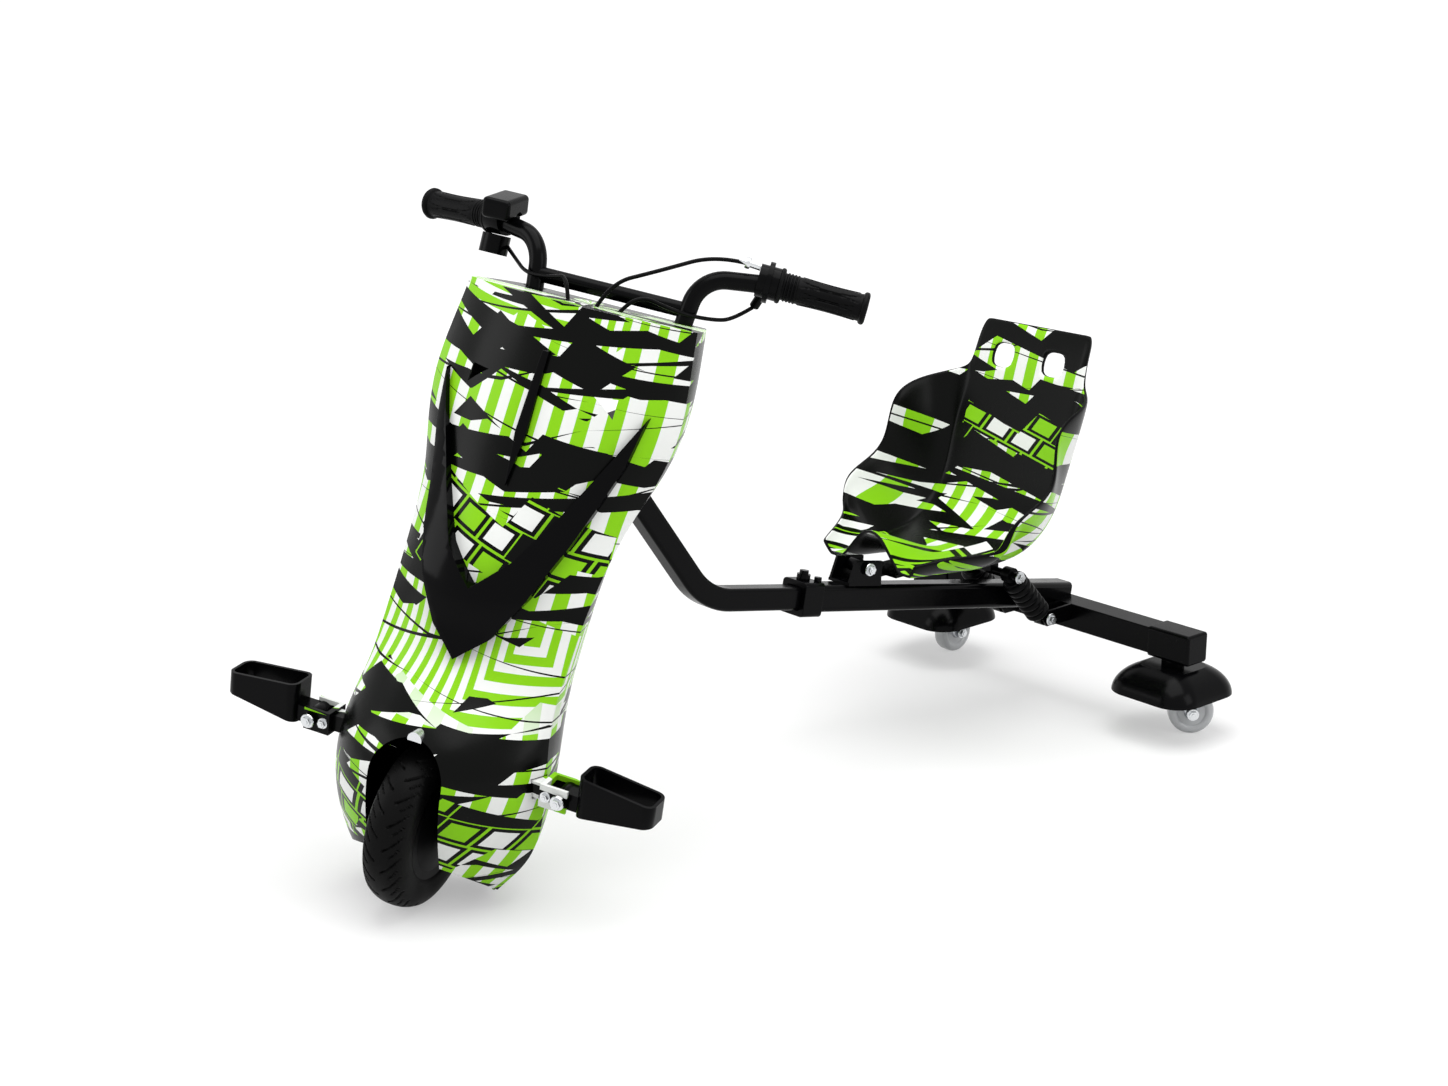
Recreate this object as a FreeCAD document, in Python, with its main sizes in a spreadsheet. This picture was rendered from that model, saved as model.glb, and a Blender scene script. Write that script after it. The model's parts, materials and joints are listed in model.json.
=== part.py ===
import FreeCAD
import Part
import math
import os
import re

# Electric drift trike for a child: one driven front wheel under a tall printed shell, a tube frame that
# telescopes, a bucket seat on a sprung bracket and two swivel casters under a rear crossbar.
# Millimetres, +Z up, the front of the trike towards -Y and the rider's left towards +X.
# The front assembly is drawn steered straight, with the front tyre standing on the point 0, 0, 0.
# It is then turned about the raked steering axis, and the whole model is set on the middle of its footprint.

doc = FreeCAD.newDocument("ElectricDriftTrike")
V = FreeCAD.Vector

# Driving dimensions

SIZES = [
    ("tyre_radius", 100), ("tyre_half_width", 27), ("rim_radius", 62), ("rim_half_width", 24),
    ("hub_half_width", 37), ("axle_radius", 6), ("axle_half_length", 53),
    ("running_clearance", 0.05), ("seat_gap", 0.3),
    ("rake_angle", 20), ("axis_ground_offset", 20), ("steer_angle", 28.8),
    ("column_radius", 14), ("head_tube_radius", 18), ("head_tube_low", 440), ("head_tube_high", 530), ("column_top", 572), ("yoke_z", 524),
    ("crown_low", 246), ("crown_thickness", 12), ("blade_offset", 44), ("blade_thickness", 6), ("blade_width", 38),
    ("yoke_thickness", 8),
    ("main_tube_side", 30), ("main_tube_wall", 2), ("main_tube_bend", 100), ("main_tube_corner", 5),
    ("tube_corner_y", 432), ("tube_corner_z", 279), ("neck_corner_y", 299), ("neck_corner_z", 466), ("neck_bend", 55), ("frame_slope", 10.84), ("main_tube_tail", 725),
    ("rear_tube_side", 36), ("rear_tube_mouth", 590), ("clamp_length", 34), ("clamp_side", 46),
    ("crossbar_y", 1098), ("crossbar_z", 131), ("crossbar_side", 37.5), ("crossbar_half", 252),
    ("crossbar_wall", 2.5), ("cap_wall", 3), ("cap_sleeve", 58), ("cap_end", 12),
    ("caster_inset", 29), ("stem_radius", 16), ("stem_height", 10),
    ("cover_half", 70), ("cover_top_half", 38), ("cover_height", 38), ("cover_wall", 3),
    ("caster_radius", 31.5), ("caster_half_width", 12.5), ("caster_trail", 28), ("caster_axle", 4),
    ("caster_fork_half", 16), ("caster_plate", 3), ("caster_left_angle", 49.5), ("caster_right_angle", 92),
    ("bar_radius", 11.1), ("bar_wall", 2), ("bar_bend", 42), ("crossbrace_radius", 9.5), ("crossbrace_share", 0.77),
    ("riser_x", 86), ("riser_y", 318.5), ("riser_z", 530), ("bend_x", 106), ("bend_y", 372), ("bend_z", 704),
    ("grip_in_x", 199), ("grip_in_y", 411.5), ("grip_in_z", 706), ("grip_end_x", 294), ("grip_end_y", 439),
    ("grip_end_z", 695.5), ("grip_radius", 16), ("grip_flange", 23), ("grip_length", 108),
    ("shell_wall", 3), ("arch_half", 47), ("arch_spring", 176), ("roof_front_y", 221), ("roof_front_z", 680),
    ("roof_slope", 13.5), ("chin_y", -45), ("chin_z", 77), ("chin_slope", 34), ("window_half", 94), ("window_low", 425), ("window_high", 590),
    ("notch_half", 110), ("notch_front_y", 250), ("notch_low", 454), ("notch_high", 484),
    ("peg_bolt_x", 163.4), ("peg_bolt_y", 28.4), ("peg_bolt_z", 177), ("peg_bolt_radius", 5),
    ("peg_half_depth", 22), ("peg_strap", 4), ("peg_length", 114), ("peg_inner_height", 50),
    ("peg_outer_height", 26), ("battery_half", 50), ("battery_depth", 40), ("battery_height", 105),
    ("seat_wall", 5), ("seat_slot_in", 32), ("seat_slot_width", 34), ("seat_slot_height", 24), ("seat_slot_z", 503),
    ("damper_x", 40), ("damper_radius", 18), ("damper_low_y", 1030), ("damper_low_z", 138),
    ("damper_high_y", 958), ("damper_high_z", 215), ("cable_radius", 2.5),
]

sheet = doc.addObject("Spreadsheet::Sheet", "Sizes")
for row, (alias, value) in enumerate(SIZES, start=1):
    sheet.set("A%d" % row, alias)
    sheet.set("B%d" % row, str(value))
    sheet.setAlias("B%d" % row, alias)
doc.recompute()
ALIASES = {alias for alias, value in SIZES}


def size(alias):
    """A driving dimension as a number."""
    return float(sheet.get(alias))


def linked(text):
    """Turns a formula in the sheet's names into one that a property can be bound to."""
    return re.sub(r"[a-z_]+", lambda word: "Sizes." + word.group() if word.group() in ALIASES else word.group(), text)


def bind(obj, **links):
    """Binds properties of an object to formulas; a double underscore stands for a dot."""
    for prop, text in links.items():
        obj.setExpression(prop.replace("__", "."), linked(text))
    return obj


def box(name, length, width, height, x, y, z):
    """A block with its low corner at x, y, z."""
    obj = doc.addObject("Part::Box", name)
    bind(obj, Length=length, Width=width, Height=height)
    return bind(obj, Placement__Base__x=x, Placement__Base__y=y, Placement__Base__z=z)


DIRECTIONS = {"z": FreeCAD.Rotation(), "x": FreeCAD.Rotation(V(0, 1, 0), 90), "y": FreeCAD.Rotation(V(1, 0, 0), -90)}


def cylinder(name, radius, height, x, y, z, along="z"):
    """A round bar that starts at x, y, z and runs along one axis."""
    obj = doc.addObject("Part::Cylinder", name)
    obj.Placement.Rotation = DIRECTIONS[along]
    bind(obj, Radius=radius, Height=height)
    return bind(obj, Placement__Base__x=x, Placement__Base__y=y, Placement__Base__z=z)


def cut(name, base, *tools):
    """The base less every tool."""
    for index, tool in enumerate(tools):
        obj = doc.addObject("Part::Cut", "%s_cut_%d" % (name, index))
        obj.Base = base
        obj.Tool = tool
        base = obj
    return base


def fuse(name, *shapes):
    """Several pieces joined into one."""
    obj = doc.addObject("Part::MultiFuse", name + "_fused")
    obj.Shapes = list(shapes)
    return obj


def solid(name, shape):
    """A feature whose shape is worked out here from the sheet's sizes."""
    obj = doc.addObject("Part::Feature", name + "_form")
    obj.Shape = shape
    return obj


# Frames

RAKE = math.radians(size("rake_angle"))
CASTER_SIDE = size("crossbar_half") - size("caster_inset")
AXIS = V(0, math.sin(RAKE), math.cos(RAKE))
AXIS_FOOT = V(0, -size("axis_ground_offset"), 0)
SLOPE = math.radians(size("frame_slope"))
TUBE_DIRECTION = V(0, math.cos(SLOPE), -math.sin(SLOPE))
STEERED = FreeCAD.Placement(V(0, 0, 0), FreeCAD.Rotation(AXIS, size("steer_angle")), AXIS_FOOT)
UPRIGHT = FreeCAD.Placement()
NODES = []


def on_axis(distance):
    """A point on the steering axis, measured along it from the ground."""
    return AXIS_FOOT + AXIS * distance


def on_tube(y):
    """A point on the centre line of the sloping frame tube."""
    return V(0, y, size("tube_corner_z") - math.tan(SLOPE) * (y - size("tube_corner_y")))


def node(name, obj, frame=UPRIGHT):
    """Names a finished piece and sets it in its frame."""
    holder = doc.addObject("Part::Compound", name)
    holder.Links = [obj]
    holder.Label = name
    NODES.append((holder, frame))
    return holder


# Shapes that the primitives don't give

def rounded_loop(centre, side_a, side_b, half_a, half_b, radius):
    """A rectangle with round corners in the plane of two unit directions."""
    def at(a, b):
        return centre + side_a * a + side_b * b
    edges = []
    corners = [(1, 1), (-1, 1), (-1, -1), (1, -1)]
    for index, (sa, sb) in enumerate(corners):
        ca = sa * (half_a - radius)
        cb = sb * (half_b - radius)
        start, end = (at(ca + sa * radius, cb), at(ca, cb + sb * radius))
        if sa * sb < 0:
            start, end = end, start
        middle = at(ca + sa * radius * math.sqrt(0.5), cb + sb * radius * math.sqrt(0.5))
        edges.append(Part.Arc(start, middle, end).toShape())
    lines = []
    for index in range(4):
        lines.append(edges[index])
        lines.append(Part.LineSegment(edges[index].Vertexes[-1].Point, edges[(index + 1) % 4].Vertexes[0].Point).toShape())
    return Part.Wire(Part.__sortEdges__(lines))


def route(points, radii):
    """Straight runs joined by tangent arcs, one radius for each inner point."""
    edges = []
    start = points[0]
    for index in range(1, len(points) - 1):
        corner = points[index]
        back = (points[index - 1] - corner).normalize()
        ahead = (points[index + 1] - corner).normalize()
        half_turn = (math.pi - back.getAngle(ahead)) / 2
        reach = radii[index - 1] * math.tan(half_turn)
        first = corner + back * reach
        last = corner + ahead * reach
        bisector = (back + ahead).normalize()
        centre = corner + bisector * (radii[index - 1] / math.cos(half_turn))
        middle = centre - bisector * radii[index - 1]
        if (first - start).Length > 1e-6:
            edges.append(Part.LineSegment(start, first).toShape())
        edges.append(Part.Arc(first, middle, last).toShape())
        start = last
    edges.append(Part.LineSegment(start, points[-1]).toShape())
    return Part.Wire(edges)


def free_radii(points):
    """The largest bend that each pair of runs leaves room for."""
    radii = []
    for index in range(1, len(points) - 1):
        back = points[index - 1] - points[index]
        ahead = points[index + 1] - points[index]
        half_turn = (math.pi - back.getAngle(ahead)) / 2
        radii.append(0.45 * min(back.Length, ahead.Length) / math.tan(half_turn))
    return radii


def round_bar(points, radii, radius):
    """A round section swept along a route."""
    path = route(points, radii)
    section = Part.Wire(Part.makeCircle(radius, points[0], points[1] - points[0]))
    return path.makePipeShell([section], True, False)


def square_bar(points, radii, side, corner):
    """A square section with round corners swept along a route in the middle plane."""
    path = route(points, radii) if radii else Part.Wire(Part.LineSegment(points[0], points[1]).toShape())
    forward = (points[1] - points[0]).normalize()
    across = V(1, 0, 0)
    section = rounded_loop(points[0], across, across.cross(forward), side / 2, side / 2, corner)
    return path.makePipeShell([section], True, False)


def turned(profile, centre, axis):
    """A closed profile of distance along the axis and radius, turned a full round."""
    across = V(0, 0, 1) if abs(axis.z) < 0.5 else V(1, 0, 0)
    points = [centre + axis * a + across * r for a, r in profile]
    face = Part.Face(Part.makePolygon(points + [points[0]]))
    return face.revolve(centre, axis, 360)


def straight_bar(start, end, radius):
    """A round bar between two points."""
    return Part.makeCylinder(radius, (end - start).Length, start, end - start)


def prism(points, depth):
    """A flat outline pushed along a vector."""
    return Part.Face(Part.makePolygon(points + [points[0]])).extrude(depth)


# Rear frame

def frame_tube():
    """Outer sleeve of the telescoping frame; its tail saddles the crossbar."""
    mouth = on_tube(size("rear_tube_mouth"))
    tail = on_tube(size("crossbar_y") + size("crossbar_side") / 2)
    side = size("rear_tube_side")
    bore = size("main_tube_side") + 2 * size("seat_gap")
    outer = square_bar([mouth, tail], None, side, size("main_tube_corner") + 2)
    inner = square_bar([mouth - TUBE_DIRECTION * 5, tail - TUBE_DIRECTION * 3], None, bore, size("main_tube_corner"))
    return outer.cut(inner)


rear_tube = cut("rear_tube", solid("rear_tube", frame_tube()),
                box("crossbar_seat", "crossbar_half * 2", "crossbar_side", "crossbar_side", "-crossbar_half",
                    "crossbar_y - crossbar_side / 2", "crossbar_z - crossbar_side / 2"))
node("rear_tube", rear_tube)

crossbar = cut("rear_crossbar",
               box("crossbar_bar", "crossbar_half * 2", "crossbar_side", "crossbar_side", "-crossbar_half",
                   "crossbar_y - crossbar_side / 2", "crossbar_z - crossbar_side / 2"),
               box("crossbar_bore", "crossbar_half * 2 + 20", "crossbar_side - 2 * crossbar_wall",
                   "crossbar_side - 2 * crossbar_wall", "-crossbar_half - 10",
                   "crossbar_y - crossbar_side / 2 + crossbar_wall",
                   "crossbar_z - crossbar_side / 2 + crossbar_wall"))
node("rear_crossbar", crossbar)


def clamp_ring():
    """Collar round the mouth of the sleeve, split below and drawn up by a screw."""
    start = on_tube(size("rear_tube_mouth")) - TUBE_DIRECTION * 4
    end = start + TUBE_DIRECTION * size("clamp_length")
    ring = square_bar([start, end], None, size("clamp_side"), 6)
    sleeve = square_bar([start + TUBE_DIRECTION * 4, end + TUBE_DIRECTION], None, size("rear_tube_side"),
                        size("main_tube_corner") + 2)
    bore = square_bar([start - TUBE_DIRECTION, end], None, size("main_tube_side") + 2 * size("seat_gap"),
                      size("main_tube_corner"))
    return ring.cut(sleeve).cut(bore)


node("clamp_collar", solid("clamp_collar", clamp_ring()))


def clamp_knob():
    """Spring button on top of the collar and its cross screw."""
    up = V(1, 0, 0).cross(TUBE_DIRECTION)
    middle = on_tube(size("rear_tube_mouth")) + TUBE_DIRECTION * 10
    top = middle + up * (size("clamp_side") / 2)
    button = Part.makeCylinder(9, 8, top, up).fuse(Part.makeCylinder(6, 13, top, up))
    return button.fuse(Part.makeCylinder(5, 6, top + TUBE_DIRECTION * 15 + V(12, 0, 0), up))


node("clamp_knob", solid("clamp_knob", clamp_knob()))

for side, sign in (("left", 1), ("right", -1)):
    half = size("crossbar_side") / 2
    wall = size("cap_wall")
    inner_x = size("crossbar_half") - size("cap_sleeve")
    outer_x = size("crossbar_half") + size("cap_end")
    centre = V(0, size("crossbar_y"), size("crossbar_z"))
    start = centre + V(sign * inner_x, 0, 0)
    sleeve_loop = rounded_loop(start, V(0, 1, 0), V(0, 0, 1), half + wall, half + wall, 5)
    sleeve = Part.Face(sleeve_loop).extrude(V(sign * (outer_x - inner_x), 0, 0))
    end_edges = [edge for edge in sleeve.Edges if all(abs(v.Point.x - sign * outer_x) < 1e-3 for v in edge.Vertexes)]
    sleeve = sleeve.makeFillet(4, end_edges)
    seat = Part.makeBox(outer_x - inner_x - size("cap_end"), 2 * half, 2 * half,
                        V(min(sign * inner_x, sign * size("crossbar_half")), size("crossbar_y") - half,
                          size("crossbar_z") - half))
    node("arm_cap_" + side, solid("arm_cap_" + side, sleeve.cut(seat)))

    cap_bottom = size("crossbar_z") - half - wall
    stem_base = V(sign * CASTER_SIDE, size("crossbar_y"), cap_bottom)
    stem = Part.makeCylinder(size("stem_radius"), size("stem_height"), stem_base, V(0, 0, -1))
    node("caster_stem_" + side, solid("caster_stem_" + side, stem))

    cover_top = cap_bottom - size("stem_height")
    middle = V(sign * CASTER_SIDE, size("crossbar_y"), 0)
    steps = [(0, size("cover_half")), (size("cover_height") * 0.45, size("cover_half") * 0.92),
             (size("cover_height") * 0.85, size("cover_half") * 0.7), (size("cover_height"), size("cover_top_half"))]

    def dome(shrink, drop):
        loops = []
        for height, half_size in steps:
            level = middle + V(0, 0, cover_top - size("cover_height") + height - drop)
            loops.append(rounded_loop(level, V(1, 0, 0), V(0, 1, 0), half_size - shrink, half_size - shrink,
                                      (half_size - shrink) * 0.55))
        return Part.makeLoft(loops, True, False)

    cover = dome(0, 0).cut(dome(size("cover_wall"), size("cover_wall")))
    node("caster_cover_" + side, solid("caster_cover_" + side, cover))

# Casters

CASTER_FRAMES = {}
for side, sign in (("left", 1), ("right", -1)):
    half = size("crossbar_side") / 2
    cover_top = size("crossbar_z") - half - size("cap_wall") - size("stem_height")
    angle = size("caster_%s_angle" % side)
    frame = FreeCAD.Placement(V(sign * CASTER_SIDE, size("crossbar_y"), 0),
                              FreeCAD.Rotation(V(0, 0, 1), angle - 90))
    CASTER_FRAMES[side] = frame
    race_top = cover_top - size("cover_wall") - size("seat_gap")
    axle_z = size("caster_radius")
    trail = size("caster_trail")
    fork_half = size("caster_fork_half")
    plate = size("caster_plate")
    race = Part.makeCylinder(22, 5, V(0, 0, race_top - 5))
    head = Part.makeCylinder(18, 4, V(0, 0, race_top - 9))
    head = head.fuse(Part.makeBox(2 * fork_half, 40, plate, V(-fork_half, -16, race_top - 9 - plate)))
    cheek = prism([V(fork_half - plate, -16, race_top - 9), V(fork_half - plate, 24, race_top - 9),
                   V(fork_half - plate, trail + 9, axle_z), V(fork_half - plate, trail, axle_z - 9),
                   V(fork_half - plate, trail - 9, axle_z)], V(plate, 0, 0))
    other = cheek.mirror(V(0, 0, 0), V(1, 0, 0))
    axle = Part.makeCylinder(size("caster_axle"), 2 * fork_half + 8, V(-fork_half - 4, trail, axle_z), V(1, 0, 0))
    fork = race.fuse([head, cheek, other, axle])
    node("caster_fork_" + side, solid("caster_fork_" + side, fork.removeSplitter()), frame)
    r = size("caster_radius")
    w = size("caster_half_width")
    bore = size("caster_axle") + size("running_clearance")
    profile = [(-w, bore), (w, bore), (w, 9), (w - 2, 11), (w - 2, r - 8), (w - 1, r - 3), (w - 5, r), (5 - w, r),
               (1 - w, r - 3), (2 - w, r - 8), (2 - w, 11), (-w, 9)]
    wheel = turned(profile, V(0, trail, axle_z), V(1, 0, 0))
    node("caster_wheel_" + side, solid("caster_wheel_" + side, wheel), frame)

# Seat

BEND_CENTRE = V(0, 870, 380)
BEND_RADIUS = 120


def bend_point(angle):
    """A point of the seat where pan turns into back, and the direction into the seat there."""
    turn = math.radians(angle)
    out = V(0, math.sin(turn), -math.cos(turn))
    return BEND_CENTRE + out * BEND_RADIUS, out * -1


# Point on the seat's middle line, direction into the seat, half width of the pan or back, half width at
# the rim of the side wing and height of the wing before it is trimmed
STATIONS = [
    (V(0, 722, 264), V(0, 0, 1), 70, 94, 40),
    (V(0, 775, 260), V(0, 0, 1), 78, 128, 60),
    (V(0, 830, 259), V(0, 0, 1), 92, 165, 95),
    (V(0, 870, 260), V(0, 0, 1), 100, 166, 112),
    bend_point(45) + (106, 160, 110),
    bend_point(82) + (106, 156, 108),
    (V(0, 1012, 440), V(0, -0.97, 0.24), 104, 152, 106),
    (V(0, 1036, 500), V(0, -0.95, 0.31), 92, 112, 50),
    (V(0, 1054, 552), V(0, -0.95, 0.31), 88, 98, 20),
]

SEAT_EDGE = [(700, 180), (700, 288), (829, 296), (829, 336), (852, 350), (895, 364), (911, 392), (916, 444),
             (932, 459), (966, 467), (1020, 476), (1028, 500), (1034, 544), (1110, 544), (1110, 180)]


def trough(wall, rise):
    """Filled seat form; with a wall it is the outside, without one the hollow."""
    loops = []
    for point, inward, half, rim, height in STATIONS:
        inward = V(inward).normalize()
        a = V(1, 0, 0)
        low = point - inward * wall
        top = height + rise
        lean = math.atan2(rim - half, height)
        spread = wall / math.cos(lean)
        bottom_half = half + spread - wall * math.tan(lean)
        top_half = rim + spread + rise * math.tan(lean)
        corner_r = 22 + wall
        run = corner_r * math.tan((math.pi / 2 - lean) / 2)
        slant = V(0, 0, 0) + a * math.sin(lean) + inward * math.cos(lean)
        right = low + a * bottom_half
        left = low - a * bottom_half
        mirror_slant = inward * math.cos(lean) - a * math.sin(lean)
        r1 = right - a * run
        r2 = right + slant * run
        bis = (a * -1 + slant).normalize()
        turn_angle = math.pi / 2 - lean
        arc_mid_r = right + bis * (corner_r / math.cos(turn_angle / 2) - corner_r)
        l1 = left + a * run
        l2 = left + mirror_slant * run
        bis_l = (a + mirror_slant).normalize()
        arc_mid_l = left + bis_l * (corner_r / math.cos(turn_angle / 2) - corner_r)
        top_r = point + inward * top + a * top_half
        top_l = point + inward * top - a * top_half
        loops.append(Part.Wire([
            Part.LineSegment(l1, r1).toShape(), Part.Arc(r1, arc_mid_r, r2).toShape(),
            Part.LineSegment(r2, top_r).toShape(), Part.LineSegment(top_r, top_l).toShape(),
            Part.LineSegment(top_l, l2).toShape(), Part.Arc(l2, arc_mid_l, l1).toShape()]))
    return loops


def rounded_outline(points, share):
    """A closed outline whose corners are arcs that take up a share of their shorter side."""
    edges = []
    ends = []
    for index, corner in enumerate(points):
        back = points[index - 1] - corner
        ahead = points[(index + 1) % len(points)] - corner
        reach = share * min(back.Length, ahead.Length)
        first = corner + back.normalize() * reach
        last = corner + ahead.normalize() * reach
        middle = (first + last) * 0.5 + (corner - (first + last) * 0.5) * 0.45
        ends.append((first, middle, last))
    for index, (first, middle, last) in enumerate(ends):
        edges.append(Part.Arc(first, middle, last).toShape())
        edges.append(Part.LineSegment(last, ends[(index + 1) % len(ends)][0]).toShape())
    return Part.Wire(edges)


def seat():
    """One moulded bucket: a swept trough trimmed to its stepped side outline."""
    outer = Part.makeLoft(trough(size("seat_wall"), 0), True, True)
    inner_loops = trough(0, 12)
    before = [loop.translated(V(0, -14, 0)) for loop in inner_loops[:1]]
    after = [loop.translated(V(0, 6, 20)) for loop in inner_loops[-1:]]
    inner = Part.makeLoft(before + inner_loops + after, True, True)
    trim = Part.Face(rounded_outline([V(-250, y, z) for y, z in SEAT_EDGE], 0.35)).extrude(V(500, 0, 0))
    shell = outer.cut(inner).common(trim)
    reach = V(0, 140, 0)
    foot = V(0, 715, 255)
    arch_outer = Part.makeCone(46, 6, 140, foot, reach)
    arch_inner = Part.makeCone(41, 1, 140, foot - V(0, 0.1, 0), reach)
    above_pan = Part.makeBox(200, 200, 100, V(-100, 716, 255))
    shell = shell.fuse(arch_outer.common(above_pan).cut(arch_inner)).cut(arch_inner)
    for sign in (1, -1):
        x = sign * (size("seat_slot_in") + size("seat_slot_width") / 2) - size("seat_slot_width") / 2
        slot = Part.makeBox(size("seat_slot_width"), 80, size("seat_slot_height"),
                            V(x, 1000, size("seat_slot_z") - size("seat_slot_height") / 2))
        slot = slot.makeFillet(5, [e for e in slot.Edges if abs(e.tangentAt(e.FirstParameter).y) > 0.9])
        shell = shell.cut(slot)
    return shell


node("seat_shell", solid("seat_shell", seat()))


def front_bracket():
    """Folded bracket on the frame tube with the seat's hinge bolt and carrier plate."""
    base = on_tube(694)
    up = V(1, 0, 0).cross(TUBE_DIRECTION)
    foot = base + up * (size("rear_tube_side") / 2)
    ears = []
    for sign in (1, -1):
        inner_x = sign * 16
        ears.append(prism([foot + V(inner_x, 0, 0) + TUBE_DIRECTION * -30, foot + V(inner_x, 0, 0) + TUBE_DIRECTION * 30,
                           foot + V(inner_x, 0, 0) + TUBE_DIRECTION * 26 + up * 34,
                           foot + V(inner_x, 0, 0) + TUBE_DIRECTION * -22 + up * 34], V(sign * 4, 0, 0)))
    floor = prism([foot + V(-20, 0, 0) + TUBE_DIRECTION * -30, foot + V(20, 0, 0) + TUBE_DIRECTION * -30,
                   foot + V(20, 0, 0) + TUBE_DIRECTION * 30, foot + V(-20, 0, 0) + TUBE_DIRECTION * 30], up * 4)
    bolt = foot + up * 24
    pin = Part.makeCylinder(4, 50, bolt + V(-25, 0, 0), V(1, 0, 0))
    return floor.fuse(ears + [pin])


node("seat_bracket_front", solid("seat_bracket_front", front_bracket()))


def seat_carrier():
    """Plate under the pan that hangs from the hinge bolt and ends in the dampers' cross bolt."""
    up = V(1, 0, 0).cross(TUBE_DIRECTION)
    hinge = on_tube(694) + up * (size("rear_tube_side") / 2 + 24)
    high = V(0, size("damper_high_y"), size("damper_high_z"))
    top = 259 - size("seat_wall") - size("seat_gap")
    plate = Part.makeBox(60, high.y + 8 - 745, 4, V(-30, 745, top - 4))
    lug = Part.makeCylinder(9, 22, hinge + V(-11, 0, 0), V(1, 0, 0))
    arm = prism([V(-11, hinge.y - 3, hinge.z - 8), V(-11, hinge.y + 3, hinge.z + 8.4), V(-11, 750, top),
                 V(-11, 750, top - 4), V(-11, 730, top - 4)], V(22, 0, 0))
    drop = Part.makeBox(24, 16, top - 3 - high.z, V(-12, high.y - 8, high.z))
    cross = Part.makeCylinder(6, 2 * size("damper_x") + 40, high + V(-size("damper_x") - 20, 0, 0), V(1, 0, 0))
    carrier = plate.fuse([lug, arm, drop, cross])
    return carrier.cut(Part.makeCylinder(4.1, 30, hinge + V(-15, 0, 0), V(1, 0, 0)))


node("seat_carrier", solid("seat_carrier", seat_carrier()))

for side, sign in (("left", 1), ("right", -1)):
    low = V(sign * size("damper_x"), size("damper_low_y"), size("damper_low_z"))
    high = V(sign * size("damper_x"), size("damper_high_y"), size("damper_high_z"))
    along = (high - low).normalize()
    length = (high - low).Length
    r = size("damper_radius")
    parts = [Part.makeCylinder(11, 14, low - V(7, 0, 0), V(1, 0, 0)), Part.makeCylinder(11, 14, high - V(7, 0, 0), V(1, 0, 0))]
    body = Part.makeCylinder(8, length, low, along)
    ribs = [body]
    for index in range(6):
        ribs.append(Part.makeCylinder(r, 7, low + along * (16 + index * 12.5), along))
    damper = parts[0].fuse([parts[1]] + ribs)
    damper = damper.cut(Part.makeCylinder(6.1, 60, high - V(30, 0, 0), V(1, 0, 0)))
    damper = damper.cut(Part.makeCylinder(5.1, 60, low - V(30, 0, 0), V(1, 0, 0)))
    node("seat_damper_" + side, solid("seat_damper_" + side, damper))
    face_y = size("crossbar_y") - size("crossbar_side") / 2
    ears = []
    for offset in (-12, 8):
        x = low.x + offset
        ears.append(prism([V(x, face_y, low.z - 12), V(x, face_y, low.z + 12), V(x, low.y - 2, low.z + 11),
                           V(x, low.y - 11, low.z), V(x, low.y - 2, low.z - 11)], V(4, 0, 0)))
    pin = Part.makeCylinder(5, 34, low - V(17, 0, 0), V(1, 0, 0))
    node("damper_bracket_" + side, solid("damper_bracket_" + side, ears[0].fuse([ears[1], pin])))

# Front tube

HEAD_MIDDLE = on_axis((size("head_tube_low") + size("head_tube_high")) / 2)


def main_tube():
    """Inner tube of the frame: it comes out of the sleeve, rises and bends forward to the head tube."""
    corner = V(0, size("tube_corner_y"), size("tube_corner_z"))
    tail = on_tube(size("main_tube_tail"))
    side = size("main_tube_side")
    wall = size("main_tube_wall")
    neck = V(0, size("neck_corner_y"), size("neck_corner_z"))
    bends = [size("main_tube_bend"), size("neck_bend")]
    outer = square_bar([tail, corner, neck, HEAD_MIDDLE], bends, side, size("main_tube_corner"))
    inner = square_bar([tail + TUBE_DIRECTION * 5, corner, neck, HEAD_MIDDLE], bends, side - 2 * wall,
                       size("main_tube_corner") - wall)
    head = straight_bar(on_axis(0), on_axis(900), size("head_tube_radius"))
    return outer.cut(inner).cut(head)


node("main_tube", solid("main_tube", main_tube()))


def head_tube():
    """Bearing tube round the steering column."""
    low = on_axis(size("head_tube_low"))
    high = on_axis(size("head_tube_high"))
    tube = straight_bar(low, high, size("head_tube_radius"))
    return tube.cut(straight_bar(low - AXIS * 5, high + AXIS * 5, size("column_radius") + size("running_clearance")))


node("head_tube", solid("head_tube", head_tube()))

# Fork and column

HUB = V(0, 0, size("tyre_radius"))


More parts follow.
